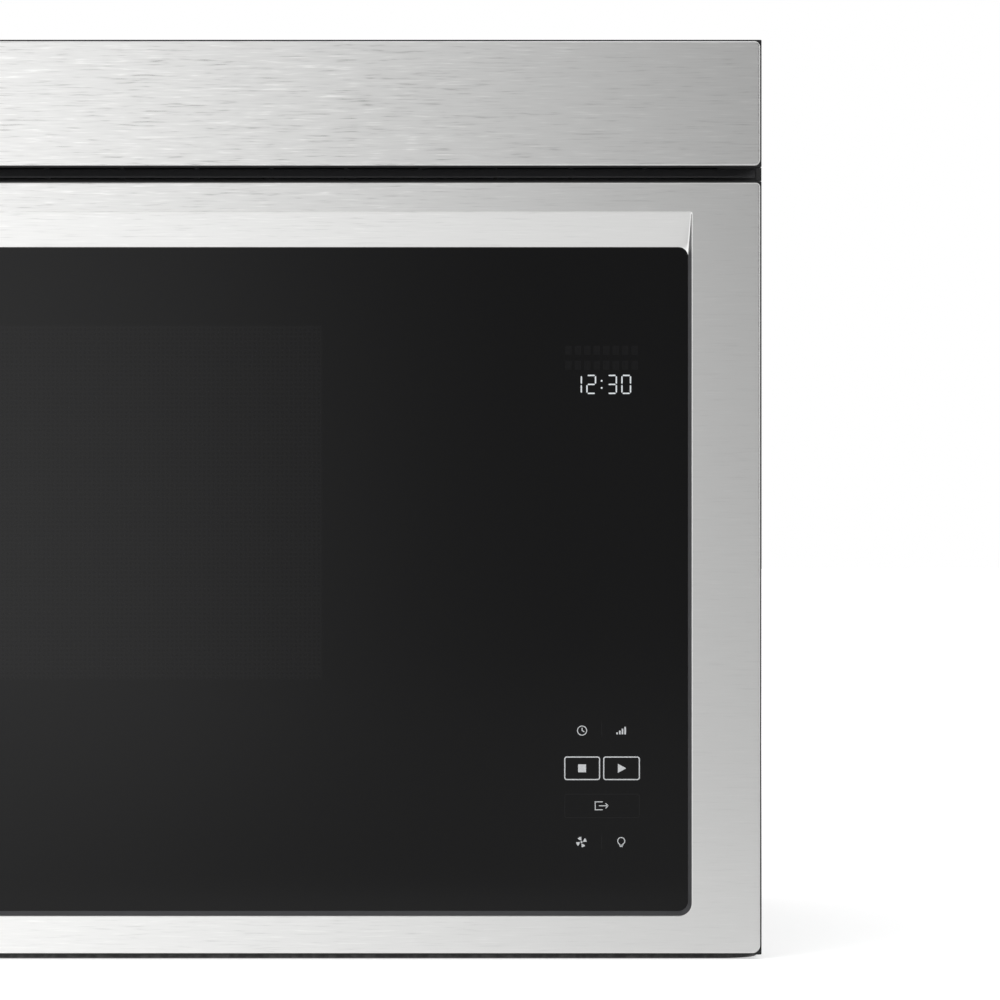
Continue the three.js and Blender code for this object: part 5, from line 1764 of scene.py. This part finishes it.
class Case(Assembly):
    """The painted case, its zinc panels and the vent behind the stainless."""

    edges = {
        "outer_wrap": ("case_paint", 0.35),
        "base_pan": ("base_paint", 0.4),
        "rear_panel": ("zinc_steel", 0.25),
        "front_plate": ("black_paint", 0.3),
        "bay_floor": ("zinc_steel", 0.25),
        "cord_bushing": ("rubber", 0.8),
        "vent_grille": ("vent_plastic", 0.25),
        "charcoal_filter": ("carbon", 0.6),
    }
    sizes = CaseSizes()

    def __init__(self, shop: Workshop) -> None:
        """Dresses the case and adds its screws and the vent's slat.

        Args:
            shop: Where objects are made and dressed.
        """
        super().__init__(shop)
        size = self.sizes
        edge_screws = itertools.product(size.edge_screws_x, size.edge_screws_z)
        places = [*size.side_screws, *size.bay_screws, *edge_screws]
        heads = [facing(x, size.plate_face, z) for x, z in places]
        Fasteners().row(shop, "front_plate_screws", "cabinet", heads)
        self.build_slat()

    def build_slat(self) -> None:
        """The slanted slat across the vent's slots and the closed ends beside them."""
        size = self.sizes
        shape = Shape()
        (front, back), (foot, head), thick = size.slat_depth, size.slat_rise, size.slat_thick
        corners = [(front, foot), (front, foot + thick), (back, head), (back, head - thick)]
        shape.loft([[Vector((x, y, z)) for y, z in corners] for x in (-size.slat_half, size.slat_half)])
        # The slat's plastic is lighter than the grille's: painted light against the shade of the gap.
        self.shop.make("vent_slat_painted_light", shape, "cabinet", "black_plastic", "vent_slat_painted_light")
        ends = Shape()
        inner, outer = size.end_x
        for x in ((inner, outer), (-outer, -inner)):
            ends.box(x, size.end_depth, size.end_rise)
        self.shop.make("vent_ends", ends, "cabinet", "black_plastic", "black_plastic")


class Oven(Assembly):
    """The enamelled cavity with everything that serves it."""

    edges = {
        "cavity_box": ("cavity_paint", 0.4),
        "waveguide": ("zinc_steel", 0.3),
        "waveguide_cover": ("mica", 0.1),
        "magnetron": ("aluminium", 0.15),
        "hv_capacitor": ("can_aluminium", 0.5),
        "cooling_fan_housing": ("zinc_steel", 0.3),
        "cooling_fan_blade": ("white_plastic", 0.3),
        "cavity_lamp_bracket": ("zinc_steel", 0.3),
        "cavity_lamp": ("lamp_glass", 0.2),
        "power_board": ("circuit_board", 0.3),
        "hv_transformer": ("transformer_iron", 0.5),
        "cooling_fan_motor": ("iron_core", 0.4),
    }


@dataclass(frozen=True)
class TurntableSizes:
    """Sizes of the turntable, about its own axis."""

    centre: tuple[float, float] = (-45.0, -25.1964)
    tray_foot: float = 126.6
    tray_radius: float = 136.0
    rim: float = 11.0
    axle_height: float = 118.8
    hoop_radius: float = 95.0
    hoop_section: float = 6.0
    wheel_track: float = 104.0
    wheel_radius: float = 7.5
    wheel_width: float = 6.0
    axle_radius: float = 1.6
    sides: int = 128
    tray_rings: tuple[float, ...] = (96.0, 62.0, 30.0)
    lug_x: Range = (12.2, 19.8)
    lug_half: float = 3.8
    lug_drop: float = 3.9
    wheel_gap: float = 0.35
    wheel_bore_gap: float = 0.3


class Turntable:
    """Glass tray, roller ring with its wheels, coupler and motor."""

    sizes = TurntableSizes()

    def __init__(self, shop: Workshop) -> None:
        """Builds the round pieces finely and dresses the rest.

        Args:
            shop: Where objects are made and dressed.
        """
        self.shop = shop
        self.build_tray()
        self.build_ring()
        for number in range(3):
            self.build_wheel(number)
        shop.dress("turntable_motor", "black_plastic", 0.5)
        shop.dress("turntable_coupler", "white_plastic", 0.5)

    def axis(self, height: float = 0.0) -> Matrix:
        """The turntable's axis at a height."""
        return Matrix.Translation((*self.sizes.centre, height))

    def build_tray(self) -> None:
        """Pressed glass tray with a raised rim, two faint rings and three lugs below."""
        size = self.sizes
        foot, radius = size.tray_foot, size.tray_radius
        flat = radius - 11
        under = [(0, foot), (58, foot), (flat - 6, foot), (flat, foot + 0.5), (flat + 3, foot + 1.6)]
        under += [(radius - 3.6, foot + 4.2), (radius - 1.2, foot + 7.2), (radius, foot + size.rim - 2)]
        brim = foot + size.rim
        rim = [(radius, brim - 1), (radius - 0.5, brim - 0.2), (radius - 1.5, brim)]
        rim += [(radius - 2.5, brim - 0.2), (radius - 3.2, brim - 1)]
        over = [(radius - 5.2, foot + 8.4), (radius - 7.8, foot + 6)]
        over += [(flat - 0.5, foot + 4.6), (flat - 4, foot + 4)]
        rings = []
        for ring in size.tray_rings:
            rings += [(ring + 2.4, foot + 4), (ring + 1, foot + 3.6)]
            rings += [(ring - 1, foot + 3.6), (ring - 2.4, foot + 4)]
        shape = Shape()
        shape.turned([*under, *rim, *over, *rings, (0, foot + 4)], size.sides, self.axis())
        for turn in range(3):
            spin = self.axis() @ Matrix.Rotation(math.radians(60 + 120 * turn), 4, "Z")
            (near, far), half = size.lug_x, size.lug_half
            lug = [(near, -half), (far, -half), (far, half), (near, half)]
            heights = (foot - size.lug_drop, foot - 0.01)
            shape.loft([[spin @ Vector((x, y, height)) for x, y in lug] for height in heights])
        made = self.shop.make("glass_tray", shape, "turntable", "clear_glass", "clear_glass", 50.0)
        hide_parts("turntable_tray")

    def build_ring(self) -> None:
        """Plastic hoop with three stub axles."""
        size = self.sizes
        half, soft = size.hoop_section / 2 - 0.05, 0.8
        inner, outer = size.hoop_radius - half, size.hoop_radius + half
        low, high = size.axle_height - half, size.axle_height + half
        section = [(inner, low + soft), (inner + soft * 0.3, low + soft * 0.3), (inner + soft, low)]
        section += [(outer - soft, low), (outer - soft * 0.3, low + soft * 0.3), (outer, low + soft)]
        section += [(outer, high - soft), (outer - soft * 0.3, high - soft * 0.3), (outer - soft, high)]
        section += [(inner + soft, high), (inner + soft * 0.3, high - soft * 0.3), (inner, high - soft)]
        shape = Shape()
        shape.turned([*section, section[0]], size.sides, self.axis())
        bmesh.ops.remove_doubles(shape.mesh, verts=shape.mesh.verts, dist=1e-4)
        wheel_in = size.wheel_track - size.wheel_width / 2 - size.wheel_gap
        wheel_out = size.wheel_track + size.wheel_width / 2 + size.wheel_gap
        start = size.hoop_radius + half - 1.0
        axle = size.axle_radius
        stub = [(0, start), (2.9, start), (2.9, wheel_in - 0.3), (2.5, wheel_in), (axle, wheel_in)]
        stub += [(axle, wheel_out), (2.3, wheel_out), (2.5, wheel_out + 0.4)]
        stub += [(2.3, wheel_out + 1.5), (0, wheel_out + 1.7)]
        for turn in range(3):
            shape.turned(stub, 20, self.radial(turn))
        made = self.shop.make("roller_hoop", shape, "ring", "black_plastic", "black_plastic")
        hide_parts("roller_ring")

    def radial(self, turn: int) -> Matrix:
        """An axle's place, with its Z pointing outward."""
        spin = Matrix.Rotation(math.radians(120 * turn), 4, "Z")
        return self.axis(self.sizes.axle_height) @ spin @ Matrix.Rotation(math.pi / 2, 4, "Y")

    def build_wheel(self, number: int) -> None:
        """A wheel with a rounded tread and a recessed web.

        Args:
            number: Which of the three wheels.
        """
        size = self.sizes
        low, high = size.wheel_track - size.wheel_width / 2, size.wheel_track + size.wheel_width / 2
        bore, tread = size.axle_radius + size.wheel_bore_gap, size.wheel_radius - 0.02
        side = [(bore, 0.0), (3.4, 0.0), (3.8, 0.9), (5.2, 0.9), (5.6, 0.1)]
        side += [(tread - 0.9, 0.0), (tread - 0.25, 0.3), (tread, 1.0)]
        profile = [(radius, low + depth) for radius, depth in side]
        profile += [(radius, high - depth) for radius, depth in reversed(side)]
        shape = Shape()
        shape.turned([*profile, profile[0]], 40, self.radial(number))
        bmesh.ops.remove_doubles(shape.mesh, verts=shape.mesh.verts, dist=1e-4)
        body = f"wheel_{number + 1}"
        made = self.shop.make(f"ring_wheel_{number + 1}", shape, body, "white_plastic", "white_plastic")
        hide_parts(f"roller_wheel_{number + 1}")


@dataclass(frozen=True)
class BlowerSizes:
    """Sizes of the blower wheels, about the shaft."""

    axis_y: float = 118.0
    axis_z: float = 380.2
    hub_from_middle: float = 34.2
    length: float = 82.0
    outer: float = 41.9
    inner: float = 35.3
    blades: int = 38
    ring: float = 2.4
    bore: float = 4.4
    hub: float = 9.0
    hub_length: float = 15.5
    sides: int = 48
    blade_turn: float = 7.5


@dataclass(frozen=True)
class FilterSizes:
    """Sizes of a grease filter."""

    centre: tuple[float, float] = (158.0, 40.0)
    width: float = 194.0
    depth: float = 127.0
    bar: float = 8.0
    low: float = 0.6
    high: float = 4.6
    pitch: tuple[float, float] = (9.0, 5.0)
    strand: float = 0.7
    fold: float = 0.7
    tab_half: float = 11.0
    tab_reach: float = 5.9
    tab_rise: Range = (2.65, 3.6)
    layers: Range = (1.9, 3.1)
    layer_margin: float = 0.6
    waviness: float = 0.25


class Ventilation(Assembly):
    """Blower, grease filters and cooktop lamps."""

    blower = BlowerSizes()
    filter = FilterSizes()
    edges = {
        "blower_housing": ("zinc_steel", 0.3),
        "blower_motor": ("black_paint", 0.8),
        "blower_shaft": ("screw_steel", 0.4),
        "lamp_cover_left": ("lens_glass", 0.3),
        "lamp_cover_right": ("lens_glass", 0.3),
        "cooktop_lamp_left": ("lamp_fitting", 0.3),
        "cooktop_lamp_right": ("lamp_fitting", 0.3),
    }

    def __init__(self, shop: Workshop) -> None:
        """Builds the fine pieces and dresses the rest.

        Args:
            shop: Where objects are made and dressed.
        """
        super().__init__(shop)
        for side, hand in ((-1, "left"), (1, "right")):
            self.build_wheel(side, hand)
            self.build_filter(side, hand)

    def build_wheel(self, side: int, hand: str) -> None:
        """A squirrel-cage wheel with forward-curved blades.

        Args:
            side: -1 on the left and 1 on the right.
            hand: "left" or "right".
        """
        size = self.blower
        aim = Matrix.Rotation(side * math.pi / 2, 4, "Y")
        place = Matrix.Translation((side * size.hub_from_middle, size.axis_y, size.axis_z)) @ aim
        shape = Shape()
        hub = [(size.bore, 0), (size.outer, 0), (size.outer, size.ring), (size.hub + 2, size.ring)]
        hub += [(size.hub, size.ring + 1.5), (size.hub, size.hub_length)]
        hub += [(size.bore, size.hub_length), (size.bore, 0)]
        shape.turned(hub, size.sides, place)
        low, high = size.length - size.ring, size.length
        hoop = [(size.inner, low), (size.outer, low), (size.outer, high), (size.inner, high)]
        shape.turned([*hoop, hoop[0]], size.sides, place)
        for number in range(size.blades):
            spin = place @ Matrix.Rotation(2 * math.pi * number / size.blades, 4, "Z")
            arc = []
            for step in range(5):
                along = step / 4
                radius = size.inner + 0.3 + along * (size.outer - size.inner - 1.0)
                angle = math.radians(size.blade_turn * along * along)
                arc.append((radius, angle))
            front = [(r * math.cos(a), r * math.sin(a)) for r, a in arc]
            back = [(r * math.cos(a + 0.011), r * math.sin(a + 0.011)) for r, a in reversed(arc)]
            section = [*front, *back]
            ends = (size.ring * 0.5, size.length - size.ring * 0.5)
            shape.loft([[spin @ Vector((x, y, end)) for x, y in section] for end in ends])
        made = self.shop.make(f"cage_wheel_{hand}", shape, "blower", "zinc_steel", "zinc_steel")
        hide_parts(f"blower_wheel_{hand}")

    def build_filter(self, side: int, hand: str) -> None:
        """A grease filter: folded frame, two layers of expanded mesh and two tabs.

        Args:
            side: -1 on the left and 1 on the right.
            hand: "left" or "right".
        """
        size = self.filter
        centre = Vector((side * size.centre[0], size.centre[1]))
        body = f"filter_{hand}"
        x = (centre.x - size.width / 2, centre.x + size.width / 2)
        y = (centre.y - size.depth / 2, centre.y + size.depth / 2)
        outer = Outline(x, y, 2.0, 2.0)
        inner = outer.grown(-size.bar)

        def flat(outline: Outline, height: float) -> list[Vector]:
            """The outline laid flat at a height."""
            return [Vector((point.x, point.z, height)) for point in outline.ring(0.0, 5)]

        fold = size.fold
        shape = Shape()
        rings = [flat(outer.grown(-fold), size.low), flat(outer.grown(-0.2), size.low + 0.25)]
        rings += [flat(outer, size.low + fold), flat(outer, size.high - fold)]
        rings += [flat(outer.grown(-0.2), size.high - 0.25), flat(outer.grown(-fold), size.high)]
        rings += [flat(inner.grown(fold), size.high), flat(inner, size.high - fold)]
        rings += [flat(inner, size.low + fold), flat(inner.grown(fold), size.low)]
        shape.loft(rings, joined=True)
        for offset in (-size.width / 3, size.width / 3):
            tab_x = (centre.x + offset - size.tab_half, centre.x + offset + size.tab_half)
            shape.box(tab_x, (y[1] - 1.0, y[1] + size.tab_reach), size.tab_rise)
        frame_piece = self.shop.make(f"filter_frame_{hand}", shape, body, "aluminium", "aluminium")
        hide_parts(f"grease_filter_{hand}")
        for layer, height in enumerate(size.layers):
            self.build_mesh_layer(centre, height, layer, f"filter_mesh_{hand}_{layer + 1}", body)

    def build_mesh_layer(self, centre: Vector, height: float, layer: int, name: str, body: str) -> None:
        """One layer of expanded aluminium.

        Args:
            centre: Middle of the filter in X and Y.
            height: Height of the layer.
            layer: 0 or 1; the second one is shifted by half a cell.
            name: The piece's name.
            body: The body it rides on.
        """
        size = self.filter
        half_x = (size.width - 2 * size.bar) / 2 + size.layer_margin
        half_y = (size.depth - 2 * size.bar) / 2 + size.layer_margin
        columns, rows = int(2 * half_x / (size.pitch[0] / 2)), int(2 * half_y / (size.pitch[1] / 2))
        step_x, step_y = 2 * half_x / columns, 2 * half_y / rows
        shape = Shape()
        points: dict[tuple[int, int], bmesh.types.BMVert] = {}

        def point(i: int, j: int) -> bmesh.types.BMVert:
            """The lattice point, made once; every other row stands a little higher.

            Args:
                i: Its column.
                j: Its row.

            Returns:
                Its vertex.
            """
            if (i, j) not in points:
                lift = size.waviness if j % 2 else -size.waviness
                x, y = centre.x - half_x + i * step_x, centre.y - half_y + j * step_y
                points[i, j] = shape.mesh.verts.new((x, y, height + lift))
            return points[i, j]

        for i in range(1, columns):
            for j in range(1, rows):
                if (i + j + layer) % 2:
                    shape.mesh.faces.new((point(i - 1, j), point(i, j - 1), point(i + 1, j), point(i, j + 1)))
        made = self.shop.make(name, shape, body, "aluminium", "aluminium")
        wires = made.modifiers.new("strands", "WIREFRAME")
        wires.thickness = size.strand * MM
        wires.use_even_offset = False


class DoorInside(Assembly):
    """Everything of the door that lies behind the stainless."""

    edges = {
        "door_glass": ("dark_glass", 0.25),
        "door_inner_frame": ("black_paint", 0.5),
        "door_choke": ("zinc_steel", 0.2),
        "choke_cover": ("black_plastic", 0.7),
        "window_screen": ("window_screen_paint", 0.0),
        "inner_window": ("clear_glass", 0.25),
        "door_control_board": ("circuit_board", 0.2),
        "display_module": ("black_plastic", 0.2),
        "hinge_lower": ("zinc_steel", 0.4),
        "hinge_upper": ("zinc_steel", 0.4),
        "latch_key": ("white_plastic", 0.6),
    }


class Interlock(Assembly):
    """Latch board, switches and the door release."""

    edges = {
        "latch_board": ("white_plastic", 0.4),
        "primary_switch": ("black_plastic", 0.4),
        "monitor_switch": ("black_plastic", 0.4),
        "secondary_switch": ("black_plastic", 0.4),
        "primary_switch_plunger": ("red_plastic", 0.3),
        "monitor_switch_plunger": ("red_plastic", 0.3),
        "secondary_switch_plunger": ("red_plastic", 0.3),
        "release_actuator": ("black_plastic", 0.5),
        "release_plunger": ("screw_steel", 0.3),
    }


@dataclass(frozen=True)
class StudioSizes:
    """Sizes of the studio in metres; a ramp is a start, an end and the values there."""

    reach: float = 14.0
    floor_drop: float = 0.0002
    camera_place: tuple[float, float, float] = (0.2542, -2.703, 0.2196)
    sensor: float = 36.0
    face_width: float = 0.4785
    distance: float = 2.5
    room_light: float = 0.58
    floor_plain: Ramp = (0.5, 2.2, 0.5, 1.0)
    floor_near: Ramp = (-0.3, 0.7, 1.28, 0.53)
    floor_far: Ramp = (-0.2, 0.25, 1.22, 0.48)
    floor_change: Ramp = (-0.66, -0.55, 1.0, 0.0)
    card_half: float = 3.2
    card_rise: Range = (0.02, 3.0)
    card_y: float = -3.3
    card_across: Ramp = (-0.4, 0.3, 1.7, 0.44)
    card_end: Ramp = (0.45, 0.9, 1.0, 0.02)
    card_upward: Ramp = (0.05, 0.9, 1.19, 0.87)


class Studio:
    """Floor, lights, world and camera."""

    sizes = StudioSizes()

    def __init__(self) -> None:
        """Builds all of it."""
        self.build_world()
        self.build_floor()
        self.build_card()
        self.build_lamps()
        self.build_camera()

    def build_world(self) -> None:
        """An even pale room that the camera, metal and glass see as white."""
        world = bpy.data.worlds.new("room")
        world.use_nodes = True
        bpy.context.scene.world = world
        tree = Tree(world.node_tree)
        room = world.node_tree.nodes["Background"]
        path = tree.add("ShaderNodeLightPath")
        seen = tree.calc("MAXIMUM", path.outputs["Is Camera Ray"], path.outputs["Is Glossy Ray"])
        seen = tree.calc("MAXIMUM", seen, path.outputs["Is Transmission Ray"])
        room.inputs["Color"].default_value = (1.0, 1.0, 1.0, 1.0)
        light = self.sizes.room_light
        tree.feed(room.inputs["Strength"], tree.calc("MULTIPLY_ADD", seen, 1.0 - light, light))

    def build_floor(self) -> None:
        """A pale floor that keeps the shadow close to the object and is plain white further off."""
        size = self.sizes
        mesh = bpy.data.meshes.new("floor")
        reach, z = size.reach, -size.floor_drop
        corners = [(-reach, -reach, z), (reach, -reach, z), (reach, reach, z), (-reach, reach, z)]
        mesh.from_pydata(corners, [], [(0, 1, 2, 3)])
        floor = bpy.data.objects.new("floor", mesh)
        bpy.context.scene.collection.objects.link(floor)
        material = bpy.data.materials.new("floor_paint")
        material.use_nodes = True
        mesh.materials.append(material)
        tree = Tree(material.node_tree)
        shader = material.node_tree.nodes["Principled BSDF"]
        shader.inputs["Roughness"].default_value = 0.9
        shader.inputs["Specular IOR Level"].default_value = 0.1
        shader.inputs["Emission Color"].default_value = (1.0, 1.0, 1.0, 1.0)
        place = tree.place()
        x, y, _ = tree.parts(place)
        away = tree.add("ShaderNodeVectorMath", operation="LENGTH")
        tree.feed(away.inputs[0], place)
        plain = tree.between(away.outputs["Value"], *size.floor_plain)
        path = tree.add("ShaderNodeLightPath")
        colours = ((0.86, 0.86, 0.86), (0.3, 0.3, 0.3))
        tree.feed(shader.inputs["Base Color"], tree.blend(path.outputs["Is Glossy Ray"], *colours))
        seen = tree.calc("MAXIMUM", path.outputs["Is Camera Ray"], path.outputs["Is Transmission Ray"])
        near, far = tree.between(x, *size.floor_near), tree.between(x, *size.floor_far)
        part = tree.calc("MULTIPLY", tree.between(y, *size.floor_change), tree.calc("SUBTRACT", far, near))
        shown = tree.calc("MULTIPLY", path.outputs["Is Glossy Ray"], tree.calc("ADD", near, part))
        tree.feed(shader.inputs["Emission Strength"], tree.calc("MULTIPLY_ADD", seen, plain, shown))

    def build_card(self) -> None:
        """A wide softly lit card in front of the door, brighter on the left, that the stainless shows."""
        size = self.sizes
        mesh = bpy.data.meshes.new("front_card")
        half, y, (low, high) = size.card_half, size.card_y, size.card_rise
        corners = [(-half, y, low), (half, y, low), (half, y, high), (-half, y, high)]
        mesh.from_pydata(corners, [], [(0, 1, 2, 3)])
        card = bpy.data.objects.new("front_card", mesh)
        bpy.context.scene.collection.objects.link(card)
        card.visible_camera = False
        card.visible_shadow = False
        material = bpy.data.materials.new("lit_card")
        material.use_nodes = True
        mesh.materials.append(material)
        tree = Tree(material.node_tree)
        tree.tree.nodes.remove(tree.tree.nodes["Principled BSDF"])
        glow = tree.add("ShaderNodeEmission")
        x, _, z = tree.parts(tree.place())
        across = tree.calc("MULTIPLY", tree.between(x, *size.card_across), tree.between(x, *size.card_end))
        strength = tree.calc("MULTIPLY", across, tree.between(z, *size.card_upward))
        tree.feed(glow.inputs["Strength"], strength)
        tree.feed(tree.tree.nodes["Material Output"].inputs["Surface"], glow.outputs[0])

    def build_lamps(self) -> None:
        """Three large soft lamps: high in front on the left, weaker on the right and behind."""
        lamps = [
            ("key_lamp", (-1.5, -1.6, 2.4), 2.2, 26.0),
            ("fill_lamp", (1.9, -0.9, 1.9), 1.8, 9.0),
            ("back_lamp", (0.4, 2.2, 1.9), 2.0, 10.0),
        ]
        for name, place, size, power in lamps:
            data = bpy.data.lights.new(name, "AREA")
            data.shape = "SQUARE"
            data.size = size
            data.energy = power
            lamp = bpy.data.objects.new(name, data)
            lamp.location = place
            aim = Vector((0.0, 0.0, 0.22)) - Vector(place)
            lamp.rotation_euler = aim.to_track_quat("-Z", "Y").to_euler()
            lamp.visible_camera = False
            lamp.visible_glossy = False
            bpy.context.scene.collection.objects.link(lamp)

    def build_camera(self) -> None:
        """The camera, square to the door."""
        data = bpy.data.cameras.new("camera")
        data.sensor_width = self.sizes.sensor
        data.lens = self.sizes.sensor * self.sizes.distance / self.sizes.face_width
        data.clip_end = 60.0
        camera = bpy.data.objects.new("camera", data)
        camera.location = self.sizes.camera_place
        camera.rotation_euler = (math.pi / 2, 0.0, 0.0)
        bpy.context.scene.collection.objects.link(camera)
        bpy.context.scene.camera = camera
        bpy.context.scene.view_settings.view_transform = "Standard"


def main() -> None:
    """Builds and dresses the microwave and its studio."""
    logging.basicConfig(level=logging.INFO, format="%(message)s")
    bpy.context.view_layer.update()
    Studio()
    shop = Workshop(Finishes(Effects()))
    for assembly in (Case, Oven, Turntable, Ventilation, DoorInside, Interlock, StainlessSkins, ControlPrint):
        assembly(shop)
        log.info("assembly %s built", assembly.__name__)


if __name__ == "__main__":
    main()
